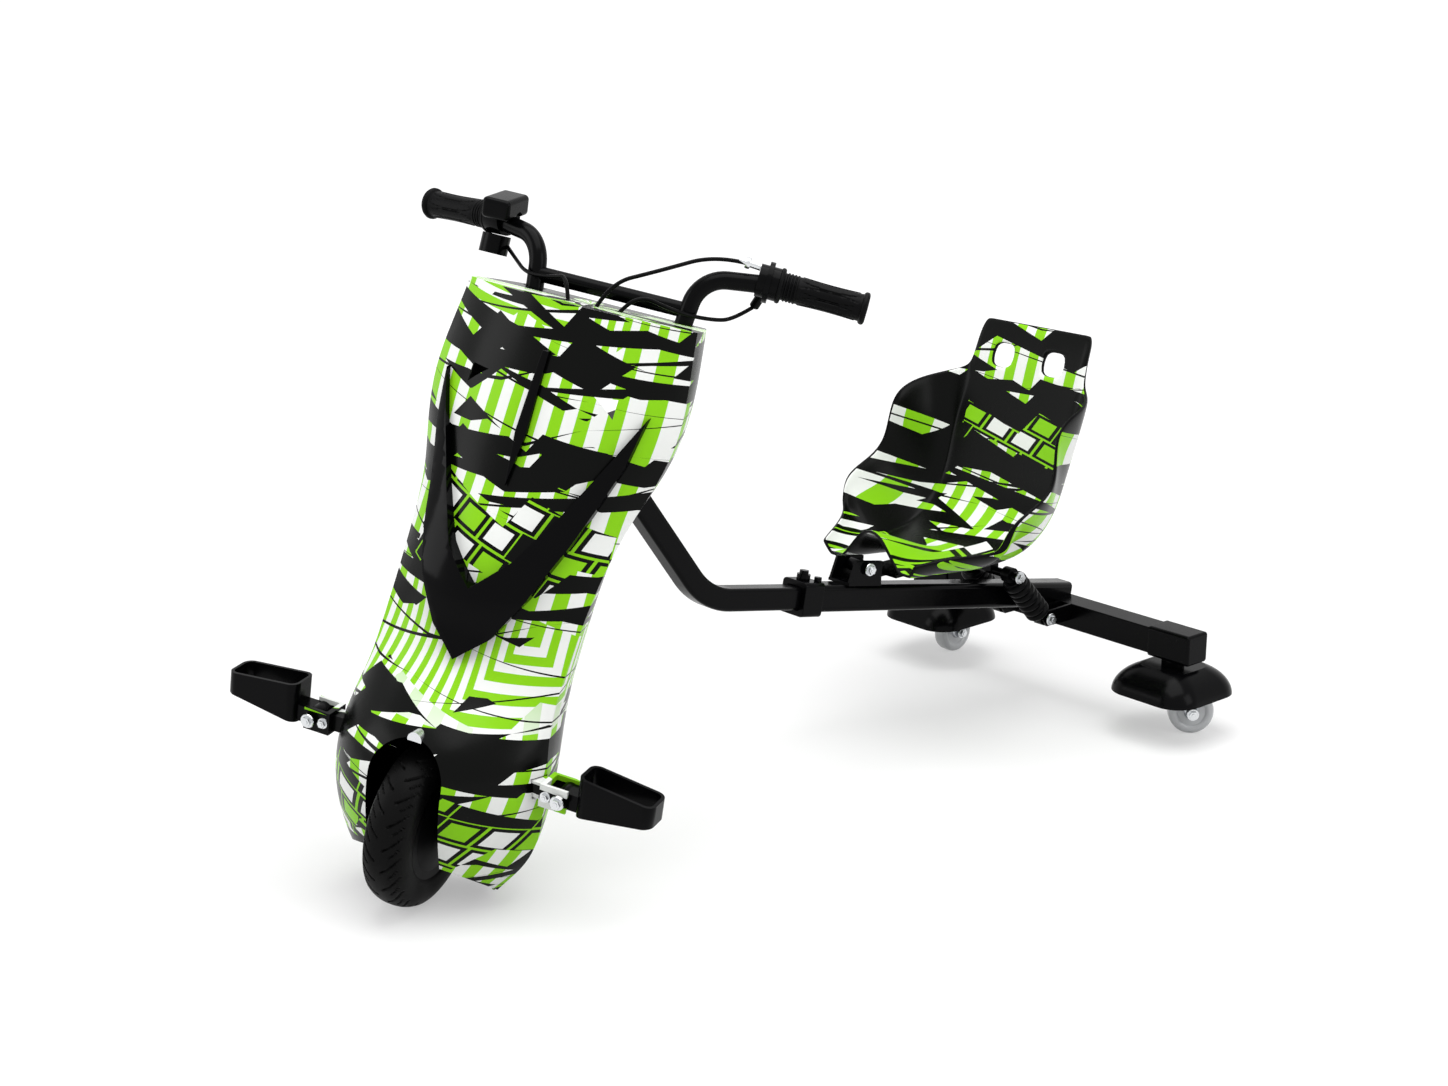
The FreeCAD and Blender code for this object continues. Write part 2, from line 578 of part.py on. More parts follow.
def fork():
    """Two blades from the axle to a crown, a column through the head tube and a yoke for the bars."""
    crown_base = on_axis(size("crown_low"))
    crown_half = size("blade_offset") + size("blade_thickness")
    forward = V(0, math.cos(RAKE), -math.sin(RAKE))
    crown = prism([crown_base + V(-crown_half, 0, 0) - forward * 24, crown_base + V(crown_half, 0, 0) - forward * 24,
                   crown_base + V(crown_half, 0, 0) + forward * 24, crown_base + V(-crown_half, 0, 0) + forward * 24],
                  AXIS * size("crown_thickness"))
    blade_half = size("blade_width") / 2
    top = crown_base
    pieces = [crown]
    for sign in (1, -1):
        inner_x = sign * size("blade_offset")
        outline = [V(inner_x, HUB.y - blade_half, HUB.z), V(inner_x, HUB.y, HUB.z - blade_half),
                   V(inner_x, HUB.y + blade_half, HUB.z), V(inner_x, top.y + 22, top.z + 1),
                   V(inner_x, top.y - 20, top.z + 6)]
        pieces.append(prism(outline, V(sign * size("blade_thickness"), 0, 0)))
    pieces.append(straight_bar(crown_base, on_axis(size("column_top")), size("column_radius")))
    race_low = size("head_tube_low") - size("seat_gap") - 10
    pieces.append(straight_bar(on_axis(race_low), on_axis(race_low + 10), 18))
    lock_low = size("head_tube_high") + size("seat_gap")
    pieces.append(straight_bar(on_axis(lock_low), on_axis(lock_low + 14), 17))
    wide = size("riser_x") + 14
    front = on_axis(size("column_top")).y - 4
    rear = size("riser_y")
    outline = [(-18, front - 10), (18, front - 10), (wide, rear - 14), (wide, rear + 12), (40, rear + 12),
               (28, rear - 60), (-28, rear - 60), (-40, rear + 12), (-wide, rear + 12), (-wide, rear - 14)]
    pieces.append(prism([V(x, y, size("yoke_z")) for x, y in outline], V(0, 0, size("yoke_thickness"))))
    tray = Part.makeBox(2 * size("battery_half"), 80, 4, V(-size("battery_half"), 88, 286))
    pieces.append(tray)
    bore = straight_bar(crown_base + AXIS * (size("crown_thickness") + 4), on_axis(size("column_top") + 5),
                        size("column_radius") - 3)
    return pieces[0].fuse(pieces[1:]).cut(bore).cut(
        Part.makeCylinder(size("axle_radius"), 200, V(-100, HUB.y, HUB.z), V(1, 0, 0)))


FORK = fork()
node("fork", solid("fork", FORK), STEERED)
node("wheel_axle", cylinder("wheel_axle_bar", "axle_radius", "axle_half_length * 2", "-axle_half_length", "0",
                            "tyre_radius", "x"), STEERED)


BATTERY_Y = 126 + size("column_radius")
battery = Part.makeBox(2 * size("battery_half"), size("battery_depth"), size("battery_height"),
                       V(-size("battery_half"), BATTERY_Y, 290))
node("battery_block", solid("battery_block", battery.cut(FORK)), STEERED)

# Front wheel


def tyre():
    """Road tyre with a round crown and full side walls."""
    r = size("tyre_radius")
    w = size("tyre_half_width")
    rim = size("rim_radius")
    rim_w = size("rim_half_width")
    points = [(-rim_w, rim), (-w, rim + 14), (-w, r - 17), (-w + 6, r - 6), (-w + 15, r - 1), (0, r)]
    profile = points + [(-a, b) for a, b in reversed(points[:-1])]
    return turned(profile, HUB, V(1, 0, 0))


def hub_motor():
    """Motor hub with stepped side covers, bored for the fixed axle."""
    rim = size("rim_radius")
    rim_w = size("rim_half_width")
    hub_w = size("hub_half_width")
    bore = size("axle_radius") + size("running_clearance")
    profile = [(-hub_w, bore), (-hub_w, 16), (-rim_w - 6, 24), (-rim_w, rim - 10), (-rim_w, rim),
               (rim_w, rim), (rim_w, rim - 10), (rim_w + 6, 24), (hub_w, 16), (hub_w, bore)]
    return turned(profile, HUB, V(1, 0, 0))


node("front_tyre", solid("front_tyre", tyre()), STEERED)
node("hub_motor", solid("hub_motor", hub_motor()), STEERED)

# Cables: from the left housing down into the roof, and from the switch to the roof
CABLES = [
    [V(169.1, 402.4, 724.9), V(122, 386, 734), V(70, 330, 712), V(20, 290, 692), V(8, 280, 640)],
    [V(162.2, 418.2, 671.5), V(146, 396, 656), V(130, 370, 657), V(100, 328, 668), V(50, 300, 690),
     V(32, 288, 640)],
    [V(-162.7, 399, 675), V(-135, 368, 672), V(-104, 336, 668), V(-62, 318, 676), V(-30, 300, 690),
     V(-20, 286, 640)],
]

# Front shell
# Level, foremost point in the middle, half width, how far back the widest point lies, half width at the
# rear edge, how far back the rear edge lies, and how far the vee trim stands off

SHELL_LEVELS = [
    (20, -25, 88, 15, 64, 80, 10),
    (70, -45, 121, 28, 85, 105, 10),
    (150, -62, 136, 34, 100, 135, 10),
    (212, -46, 128, 45, 98, 150, 10),
    (250, 0, 121, 62, 94, 168, 10),
    (290, 42, 120, 84, 92, 188, 10),
    (380, 76, 124, 135, 92, 222, 18),
    (445, 108, 134, 178, 100, 242, 14),
    (490, 132, 148, 205, 117, 302, 11),
    (555, 162, 160, 234, 124, 352, 9),
    (625, 197, 154, 262, 120, 376, 9),
    (665, 218, 149, 278, 116, 388, 9),
    (705, 240, 145, 292, 112, 400, 9),
]


def shell_loop(level, front, half, widest, rear_half, rear, grow, tail):
    """Level section of the shell, grown outwards by one amount and at its rear by another."""
    z = level
    right = V(half + grow, widest, z)
    left = V(-half - grow, widest, z)
    nose = V(0, front - grow, z)
    back_right = V(rear_half + grow, rear + tail, z)
    back_left = V(-rear_half - grow, rear + tail, z)
    side_right = V((half + rear_half) / 2 + grow + 5, (widest + rear + tail) / 2, z)
    side_left = V(-side_right.x, side_right.y, z)
    return Part.Wire([
        Part.Arc(left, nose, right).toShape(), Part.Arc(right, side_right, back_right).toShape(),
        Part.LineSegment(back_right, back_left).toShape(), Part.Arc(back_left, side_left, left).toShape()])


def shell_form(grow, tail, stand_off=False):
    """Solid form of the shell between its first and last levels."""
    loops = []
    for level, front, half, widest, rear_half, rear, proud in SHELL_LEVELS:
        extra = proud if stand_off else grow
        loops.append(shell_loop(level, front, half, widest, rear_half, rear, extra, tail))
    loops.insert(0, loops[0].translated(V(0, 0, -40)))
    return Part.makeLoft(loops, True, False)


def under_roof(drop):
    """Everything below the sloping roof."""
    slope = math.radians(size("roof_slope"))
    block = Part.makeBox(600, 1200, 1200, V(-300, -600, -1200))
    block.Placement = FreeCAD.Placement(V(0, size("roof_front_y"), size("roof_front_z") - drop),
                                        FreeCAD.Rotation(V(1, 0, 0), -math.degrees(slope)))
    return block


def wheel_arch():
    """Cut-out in the front wall that the tyre looks through."""
    half = size("arch_half")
    spring = size("arch_spring")
    low = [V(-half, -160, -10), V(half, -160, -10), V(half, -160, spring)]
    outline = Part.Wire([
        Part.LineSegment(low[0], low[1]).toShape(), Part.LineSegment(low[1], low[2]).toShape(),
        Part.Arc(low[2], V(0, -160, spring + half), V(-half, -160, spring)).toShape(),
        Part.LineSegment(V(-half, -160, spring), low[0]).toShape()])
    return Part.Face(outline).extrude(V(0, 150, 0))


def chin():
    """Slanting cut below the front of the housing."""
    block = Part.makeBox(600, 400, 400, V(-300, -300, -400))
    block.Placement = FreeCAD.Placement(V(0, size("chin_y"), size("chin_z")),
                                        FreeCAD.Rotation(V(1, 0, 0), -size("chin_slope")))
    return block


def front_shell():
    """Hollow moulding with a roof, open below, with a window behind and notches for the tube at full lock."""
    wall = size("shell_wall")
    outer = shell_form(0, 0).common(under_roof(0))
    inner = shell_form(-wall, -wall).common(under_roof(wall))
    below = Part.makeBox(600, 600, 200, V(-300, -300, SHELL_LEVELS[0][0] - 200))
    half = size("window_half")
    window = Part.makeBox(2 * half, 400, size("window_high") - size("window_low"), V(-half, 190, size("window_low")))
    reach = size("notch_half")
    notch = Part.makeBox(2 * reach, 300, size("notch_high") - size("notch_low"),
                         V(-reach, size("notch_front_y"), size("notch_low")))
    shell = outer.cut(inner).cut(window).cut(notch).cut(wheel_arch()).cut(chin()).cut(below)
    for sign in (1, -1):
        slot = Part.makeBox(60, 24, 24, V(sign * 130 - 30, size("peg_bolt_y") - 12, size("peg_bolt_z") - 12))
        hole = straight_bar(V(sign * size("riser_x"), size("riser_y"), size("riser_z")),
                            V(sign * size("bend_x"), size("bend_y"), size("bend_z")), size("bar_radius") + 3)
        shell = shell.cut(slot).cut(hole)
    for points in CABLES:
        shell = shell.cut(straight_bar(points[-2], points[-1], size("cable_radius") + size("seat_gap")))
    return shell


SHELL_OUTSIDE = shell_form(0, 0)
node("front_shell", solid("front_shell", front_shell()), STEERED)

# Outline of one half of the vee trim and of the centre spike, seen from the front
VEE = [(0, 295), (37, 325), (66, 372), (92, 432), (122, 520), (131, 574), (106, 524), (76, 468), (40, 412),
       (0, 376)]
SPIKE = [(0, 482), (7, 540), (4, 628), (-4, 628), (-7, 540)]


def trim_piece(outlines, scale):
    """The layer outside the shell that lies behind an outline in front view."""
    cutter = None
    for outline in outlines:
        piece = prism([V(x, -200, z) for x, z in outline], V(0, 560, 0))
        cutter = piece if cutter is None else cutter.fuse(piece)
    layer = shell_form(scale, 0, scale == 0).common(cutter)
    lean = math.atan2(198 - 49, 628 - 295)
    front = Part.makeBox(500, 400, 1000, V(-250, -400, -300))
    front.Placement = FreeCAD.Placement(V(0, 49 + 84, 295), FreeCAD.Rotation(V(1, 0, 0), -math.degrees(lean)))
    return layer.common(front).cut(SHELL_OUTSIDE)


node("vee_trim", solid("vee_trim", trim_piece([VEE, [(-x, z) for x, z in VEE]], 0)), STEERED)
node("centre_spike", solid("centre_spike", trim_piece([SPIKE], 6)), STEERED)

# Bars

GRIP_IN = V(size("grip_in_x"), size("grip_in_y"), size("grip_in_z"))
GRIP_END = V(size("grip_end_x"), size("grip_end_y"), size("grip_end_z"))
GRIP_DIRECTION = (GRIP_END - GRIP_IN).normalize()
RISER_FOOT = V(size("riser_x"), size("riser_y"), size("riser_z"))
RISER_BEND = V(size("bend_x"), size("bend_y"), size("bend_z"))
BRACE_END = RISER_FOOT + (RISER_BEND - RISER_FOOT) * size("crossbrace_share")


def mirrored(point):
    """The same place on the other side."""
    return V(-point.x, point.y, point.z)


def handlebar():
    """Two risers that bend out into the grips, joined by a cross brace."""
    pieces = []
    for side in (1, -1):
        points = [RISER_FOOT, RISER_BEND, GRIP_IN, GRIP_END]
        if side < 0:
            points = [mirrored(point) for point in points]
        pieces.append(round_bar(points, [size("bar_bend"), 60], size("bar_radius")))
    brace = straight_bar(mirrored(BRACE_END), BRACE_END, size("crossbrace_radius"))
    bars = pieces[0].fuse([pieces[1], brace])
    return bars.cut(FORK)


BARS = handlebar()
node("handlebar", solid("handlebar", BARS), STEERED)


def grip():
    """Rubber grip with an inner flange, five ring grooves and a closed end."""
    length = size("grip_length")
    start = GRIP_END - GRIP_DIRECTION * (length - 3)
    body = straight_bar(start, GRIP_END + GRIP_DIRECTION * 3, size("grip_radius"))
    flange = straight_bar(start, start + GRIP_DIRECTION * 6, size("grip_flange"))
    rim = straight_bar(GRIP_END - GRIP_DIRECTION * 4, GRIP_END + GRIP_DIRECTION * 3, size("grip_radius") + 2.5)
    piece = body.fuse([flange, rim])
    return piece.cut(straight_bar(start - GRIP_DIRECTION * 5, GRIP_END, size("bar_radius")))


LEFT_GRIP = grip().cut(BARS)
RIGHT_GRIP = LEFT_GRIP.mirror(V(0, 0, 0), V(1, 0, 0))
node("grip_left", solid("grip_left", LEFT_GRIP), STEERED)
node("grip_right", solid("grip_right", RIGHT_GRIP), STEERED)


def housing(inner, outer, radius):
    """A round control housing on the straight part of the left bar."""
    start = GRIP_END - GRIP_DIRECTION * outer
    end = GRIP_END - GRIP_DIRECTION * inner
    piece = straight_bar(start, end, radius)
    return piece.cut(straight_bar(start - GRIP_DIRECTION, end + GRIP_DIRECTION, size("bar_radius")))


def left_control():
    """Twist housing with a collar and a cable boss below."""
    barrel = housing(size("grip_length") - 3, size("grip_length") + 24, 20)
    collar = housing(size("grip_length") + 8, size("grip_length") + 14, 25)
    boss_at = GRIP_END - GRIP_DIRECTION * (size("grip_length") + 16)
    boss = Part.makeCylinder(6, 30, boss_at + V(0, 8, -10), V(-0.5, 0.2, -1))
    bar = straight_bar(GRIP_IN - GRIP_DIRECTION * 60, GRIP_END, size("bar_radius"))
    return barrel.fuse([collar, boss]).cut(bar).cut(BARS)


def right_control():
    """Wrap-round switch housing with a box that reaches back over the bar."""
    barrel = housing(size("grip_length") - 3, size("grip_length") + 24, 21)
    middle = GRIP_END - GRIP_DIRECTION * (size("grip_length") + 10)
    box_shape = Part.makeBox(38, 58, 26, V(middle.x - 30, middle.y - 40, middle.z + 6))
    box_shape = box_shape.makeFillet(6, box_shape.Edges)
    bar = straight_bar(GRIP_IN - GRIP_DIRECTION * 60, GRIP_END, size("bar_radius"))
    return barrel.fuse(box_shape).cut(bar).cut(BARS).cut(LEFT_GRIP).mirror(V(0, 0, 0), V(1, 0, 0))


def switch_block():
    """Round key switch that hangs under the right bar."""
    middle = mirrored(GRIP_END - GRIP_DIRECTION * (size("grip_length") + 10))
    base = middle + V(0, -4, -21.3)
    block = Part.makeCylinder(18, 24, base, V(0, -0.3, -1))
    return block.cut(Part.makeSphere(21.1, middle)).cut(RIGHT_GRIP)


LEFT_CONTROL = left_control()
SWITCH = switch_block()
node("control_left", solid("control_left", LEFT_CONTROL), STEERED)
node("control_right", solid("control_right", right_control()), STEERED)
node("switch_block", solid("switch_block", SWITCH), STEERED)

cables = [round_bar(points, free_radii(points), size("cable_radius")).cut(LEFT_CONTROL).cut(SWITCH)
          for points in CABLES]
node("control_cables", solid("control_cables", Part.makeCompound(cables)), STEERED)

# Pegs

PEG_BOLT = V(size("peg_bolt_x"), size("peg_bolt_y"), size("peg_bolt_z"))


def peg_bracket():
    """Arm from the fork blade out through the shell, ending in two ears and the fold bolt."""
    inner = size("blade_offset") + size("blade_thickness")
    arm = Part.makeBox(140 - inner, 20, 20, V(inner, PEG_BOLT.y - 10, PEG_BOLT.z - 10))
    web = Part.makeBox(6, 36, 28, V(138, PEG_BOLT.y - 18, PEG_BOLT.z - 14))
    ears = []
    for low in (-18, 14):
        ears.append(Part.makeBox(172 - 140, 4, 28, V(140, PEG_BOLT.y + low, PEG_BOLT.z - 14)))
    pin = Part.makeCylinder(size("peg_bolt_radius"), 44, PEG_BOLT - V(0, 22, 0), V(0, 1, 0))
    head = Part.makeCylinder(8, 4, PEG_BOLT - V(0, 24, 0), V(0, 1, 0))
    return arm.fuse([web, pin, head] + ears)


def peg():
    """Tapered loop of flat bar on a hinge knuckle."""
    strap = size("peg_strap")
    depth = size("peg_half_depth")
    start = 20
    end = size("peg_length")
    knuckle = Part.makeCylinder(11, 26, PEG_BOLT - V(0, 13, 0), V(0, 1, 0))
    tongue = Part.makeBox(26, 26, 20, PEG_BOLT + V(0, -13, -10))
    outer = rounded_loop(PEG_BOLT + V((start + end) / 2, 0, -40), V(1, 0, 0), V(0, 1, 0), (end - start) / 2, depth, 12)
    inner = rounded_loop(PEG_BOLT + V((start + end) / 2, 0, -41), V(1, 0, 0), V(0, 1, 0), (end - start) / 2 - strap,
                         depth - strap, 12 - strap)
    loop = Part.Face(outer).extrude(V(0, 0, 100)).cut(Part.Face(inner).extrude(V(0, 0, 102)))
    high = size("peg_inner_height")
    low = size("peg_outer_height")
    profile = prism([PEG_BOLT + V(start, -60, -12), PEG_BOLT + V(start, -60, high - 12),
                     PEG_BOLT + V(end, -60, 28), PEG_BOLT + V(end, -60, 28 - low)], V(0, 120, 0))
    piece = loop.common(profile).fuse([knuckle, tongue])
    return piece.cut(Part.makeCylinder(size("peg_bolt_radius") + size("running_clearance"), 80,
                                       PEG_BOLT - V(0, 40, 0), V(0, 1, 0)))


for side, mirror in (("left", False), ("right", True)):
    for name, shape in (("peg_bracket_", peg_bracket()), ("peg_", peg())):
        if mirror:
            shape = shape.mirror(V(0, 0, 0), V(1, 0, 0))
        node(name + side, solid(name + side, shape), STEERED)

stud = Part.makeCylinder(9, 40, V(0, -38, 222.5), V(0, 1, 0))
node("front_stud", solid("front_stud", stud.cut(SHELL_OUTSIDE)), STEERED)

# Placing, checking and writing

doc.recompute()
for holder, frame in NODES:
    holder.Placement = frame
doc.recompute()
limits = FreeCAD.BoundBox()
for holder, frame in NODES:
    limits.add(holder.Shape.optimalBoundingBox(False))
to_footprint = FreeCAD.Placement(V(-limits.Center.x, -limits.Center.y, -limits.ZMin), FreeCAD.Rotation())
for holder, frame in NODES:
    holder.Placement = to_footprint.multiply(frame)
doc.recompute()

for obj in doc.Objects:
    if "Invalid" in obj.State or "Error" in obj.State:
        raise RuntimeError("failed: " + obj.Name)
os.makedirs("parts", exist_ok=True)
for holder, frame in NODES:
    shape = holder.Shape
    if shape.isNull() or not shape.isValid():
        raise RuntimeError("bad shape: " + holder.Label)
    shape.exportStep("parts/%s.step" % holder.Label)
print("origin from the tyre's foot", limits.Center.x, limits.Center.y, limits.ZMin)
print("overall", limits.XLength, limits.YLength, limits.ZLength, "pieces", len(NODES))
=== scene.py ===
# %% [markdown]
# # Electric drift trike
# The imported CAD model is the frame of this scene: every object is in metres, at rest, and sits where the
# model says. This lesson sets the camera and the light, writes the finishes and the printed film of the
# shell and the seat, and then models the pieces whose look depends on small form: the treaded tyre, the
# rubber grips, the bellows under the seat, the seat itself, the bolts, the caster wheels and the cables.

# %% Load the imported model
import bpy
import bmesh
import json
import math
from mathutils import Matrix, Vector


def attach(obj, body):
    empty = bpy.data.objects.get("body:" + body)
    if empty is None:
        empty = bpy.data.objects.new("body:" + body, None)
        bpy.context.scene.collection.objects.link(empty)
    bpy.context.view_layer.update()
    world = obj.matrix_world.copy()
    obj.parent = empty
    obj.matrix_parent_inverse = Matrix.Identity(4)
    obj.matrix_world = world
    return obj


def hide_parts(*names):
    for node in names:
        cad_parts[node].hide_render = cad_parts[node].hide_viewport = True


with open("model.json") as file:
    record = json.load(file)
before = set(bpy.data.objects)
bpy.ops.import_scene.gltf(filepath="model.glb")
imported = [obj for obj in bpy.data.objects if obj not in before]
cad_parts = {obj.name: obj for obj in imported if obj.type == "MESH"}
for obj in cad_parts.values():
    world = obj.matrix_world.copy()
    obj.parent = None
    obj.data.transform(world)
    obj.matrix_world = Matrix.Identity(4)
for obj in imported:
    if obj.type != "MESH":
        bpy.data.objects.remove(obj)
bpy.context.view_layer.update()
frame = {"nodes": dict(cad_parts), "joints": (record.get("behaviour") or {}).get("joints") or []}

nodes = frame["nodes"]
joints = {joint["name"]: joint for joint in frame["joints"]}
HANDS = (("left", 1), ("right", -1))
print("pieces of the model:", len(nodes))

# %% [markdown]
# ## Where the front assembly points
# Bars, printed shell, fork and front wheel are drawn straight ahead and stand turned about the raked
# steering axis. `straight_ahead` places a point given from the tyre's footprint into the scene, so a piece
# can be modelled symmetric and then turned with the rest. The same turn, undone, centres the print.

# %% Steering frame
STEER_ANGLE = math.radians(28.8)
pivot = Vector(joints["steering_turn"]["pos_m"])
steer_axis = Vector(joints["steering_turn"]["axis"]).normalized()
AXIS_BEHIND_TYRE = -0.020
footprint = pivot - Vector((0, AXIS_BEHIND_TYRE, 0))
turn = Matrix.Rotation(STEER_ANGLE, 4, steer_axis)
straight_ahead = Matrix.Translation(pivot) @ turn @ Matrix.Translation(footprint - pivot)
print("tyre stands on", tuple(round(c, 4) for c in footprint))

# %% [markdown]
# ## Camera
# The photograph was taken from the trike's left front corner, a little above the bars, with a normal lens.
# Its direction and distance were solved from the tyre, the bars and the rear crossbar.

# %% Camera
LENS_MM, SENSOR_MM = 56.27, 36
CAMERA_FROM_TYRE = Vector((2.0781, -1.3079, 1.1352))
YAW, PITCH, ROLL = (math.radians(angle) for angle in (49.473, 16.123, -0.102))
camera_data = bpy.data.cameras.new("photo_camera")
camera_data.lens = LENS_MM
camera_data.sensor_width = SENSOR_MM
camera = bpy.data.objects.new("photo_camera", camera_data)
bpy.context.scene.collection.objects.link(camera)
ahead = Vector((-math.sin(YAW) * math.cos(PITCH), math.cos(YAW) * math.cos(PITCH), -math.sin(PITCH)))
level = Vector((math.cos(YAW), math.sin(YAW), 0))
upward = level.cross(ahead)
aim = Matrix((level, upward, -ahead)).transposed()
camera.matrix_world = (Matrix.Translation(footprint + CAMERA_FROM_TYRE)
                       @ aim.to_4x4() @ Matrix.Rotation(ROLL, 4, "Z"))
bpy.context.scene.camera = camera
bpy.context.scene.view_settings.view_transform = "Standard"

# %% [markdown]
# ## Nodes by one small function
# `add` puts one node in a tree, sets its settings, and links or fills its inputs. Colours are written as
# they are mixed for print, in sRGB hex, and `paint` turns them to the linear values that light needs.


# %% Helpers for materials
def paint(hex_colour):
    """Linear colour of an sRGB hex value."""
    channels = [int(hex_colour[i:i + 2], 16) / 255 for i in (1, 3, 5)]
    linear = [c / 12.92 if c <= 0.04045 else ((c + 0.055) / 1.055) ** 2.4 for c in channels]
    return (*linear, 1.0)


def add(tree, kind, inputs=None, **settings):
    """One node with its settings; each input is a value or another node's output."""
    made = tree.nodes.new("ShaderNode" + kind)
    for name, value in settings.items():
        setattr(made, name, value)
    for name, value in (inputs or {}).items():
        socket = made.inputs[name]
        if isinstance(value, bpy.types.NodeSocket):
            tree.links.new(value, socket)
        else:
            socket.default_value = value
    return made


def new_material(name):
    """An empty node material, its tree and its output."""
    material = bpy.data.materials.new(name)
    material.use_nodes = True
    material.node_tree.nodes.clear()
    return material, material.node_tree, add(material.node_tree, "OutputMaterial")


def grained(name, colour, roughness, grain_mm, bump, metallic=0.0, coat=0.0, spread=0.08, ior=1.5,
            specular=0.5):
    """A finish of one colour with a fine surface grain that also varies its gloss."""
    material, tree, output = new_material(name)
    place = add(tree, "TexCoord").outputs["Object"]
    grain = add(tree, "TexNoise", {"Vector": place, "Scale": 1000 / grain_mm, "Detail": 3.0}).outputs["Fac"]
    cloud = add(tree, "TexNoise", {"Vector": place, "Scale": 18.0, "Detail": 2.0}).outputs["Fac"]
    gloss = add(tree, "MapRange", {"Value": cloud, "From Min": 0.3, "From Max": 0.7,
                                   "To Min": roughness - spread, "To Max": roughness + spread})
    relief = add(tree, "Bump", {"Height": grain, "Strength": bump, "Distance": grain_mm / 4000})
    shader = add(tree, "BsdfPrincipled", {"Base Color": paint(colour), "Roughness": gloss.outputs[0],
                                          "Metallic": metallic, "Coat Weight": coat, "Coat Roughness": 0.08,
                                          "Specular IOR Level": specular, "IOR": ior,
                                          "Normal": relief.outputs[0]})
    tree.links.new(shader.outputs[0], output.inputs["Surface"])
    return material


# %% [markdown]
# ## Floor and light
# A pale seamless floor and one large soft lamp overhead, as in a product studio. The floor adds a glow of
# its own for the camera, which grows with the distance, so the sheet stays white where the lamps don't reach
# and still takes a soft shadow round the wheels.

# %% Floor, backdrop and lamps
FLOOR_HALF = 30.0
GLOW_NEAR, GLOW_FAR = (1.0, 0.38), (3.2, 0.72)  # distance from the middle in metres, and the glow there
PAPER_GREY = (0.60, 0.60, 0.60, 1.0)
WORLD_LEVEL = 0.62
floor_mesh = bmesh.new()
bmesh.ops.create_grid(floor_mesh, x_segments=1, y_segments=1, size=FLOOR_HALF)
floor_data = bpy.data.meshes.new("studio_floor")
floor_mesh.to_mesh(floor_data)
floor_mesh.free()
floor = bpy.data.objects.new("studio_floor", floor_data)
bpy.context.scene.collection.objects.link(floor)


def background_rays(tree):
    """1 for rays that show the background: seen straight, mirrored or through glass."""
    seen = add(tree, "LightPath").outputs
    mirrored = add(tree, "Math", {0: seen["Is Glossy Ray"], 1: seen["Is Transmission Ray"]},
                   operation="MAXIMUM")
    return add(tree, "Math", {0: seen["Is Camera Ray"], 1: mirrored.outputs[0]},
               operation="MAXIMUM").outputs[0]


paper, tree, output = new_material("white seamless paper")
spot = add(tree, "TexCoord").outputs["Object"]
away = add(tree, "VectorMath", {0: spot}, operation="LENGTH").outputs["Value"]
glow = add(tree, "MapRange", {"Value": away, "From Min": GLOW_NEAR[0], "From Max": GLOW_FAR[0],
                              "To Min": GLOW_NEAR[1], "To Max": GLOW_FAR[1]})
glow_level = add(tree, "Math", {0: background_rays(tree), 1: glow.outputs[0]}, operation="MULTIPLY")
sheet_glow = add(tree, "Emission", {"Color": paint("#ffffff"), "Strength": glow_level.outputs[0]})
sheet_matt = add(tree, "BsdfDiffuse", {"Color": PAPER_GREY})
both = add(tree, "AddShader", {0: sheet_glow.outputs[0], 1: sheet_matt.outputs[0]})
tree.links.new(both.outputs[0], output.inputs["Surface"])
floor_data.materials.append(paper)

world = bpy.data.worlds.new("white studio")
bpy.context.scene.world = world
world.use_nodes = True
tree = world.node_tree
tree.nodes.clear()
air_level = add(tree, "MapRange", {"Value": background_rays(tree), "To Min": WORLD_LEVEL, "To Max": 1.0})
air = add(tree, "Background", {"Color": (1, 1, 1, 1), "Strength": air_level.outputs[0]})
add(tree, "OutputWorld", {"Surface": air.outputs[0]})


def lamp(name, place, target, width, height, watts):
    """A soft box aimed at a point."""
    data = bpy.data.lights.new(name, "AREA")
    data.shape = "RECTANGLE"
    data.size = width
    data.size_y = height
    data.energy = watts
    made = bpy.data.objects.new(name, data)
    made.location = place
    made.rotation_euler = (Vector(target) - Vector(place)).to_track_quat("-Z", "Y").to_euler()
    bpy.context.scene.collection.objects.link(made)


lamp("overhead_softbox", (0.3, -0.1, 2.9), (0, 0, 0.2), 2.6, 2.6, 62)
lamp("left_softbox", (2.6, 0.9, 1.5), (0, 0, 0.4), 1.2, 1.8, 18)
lamp("front_softbox", (-1.4, -2.4, 1.6), (0, -0.4, 0.4), 1.2, 1.8, 18)

# %% [markdown]
# ## Plain finishes
# Powder-coated steel is smooth and slightly orange-peeled; injection-moulded ABS is smoother; rubber is
# matt; zinc plate is bright with a cold tint. Each differs in roughness and grain more than in colour. The
# blacks reflect less than common plastic does, because the photograph shows them almost without a sheen.

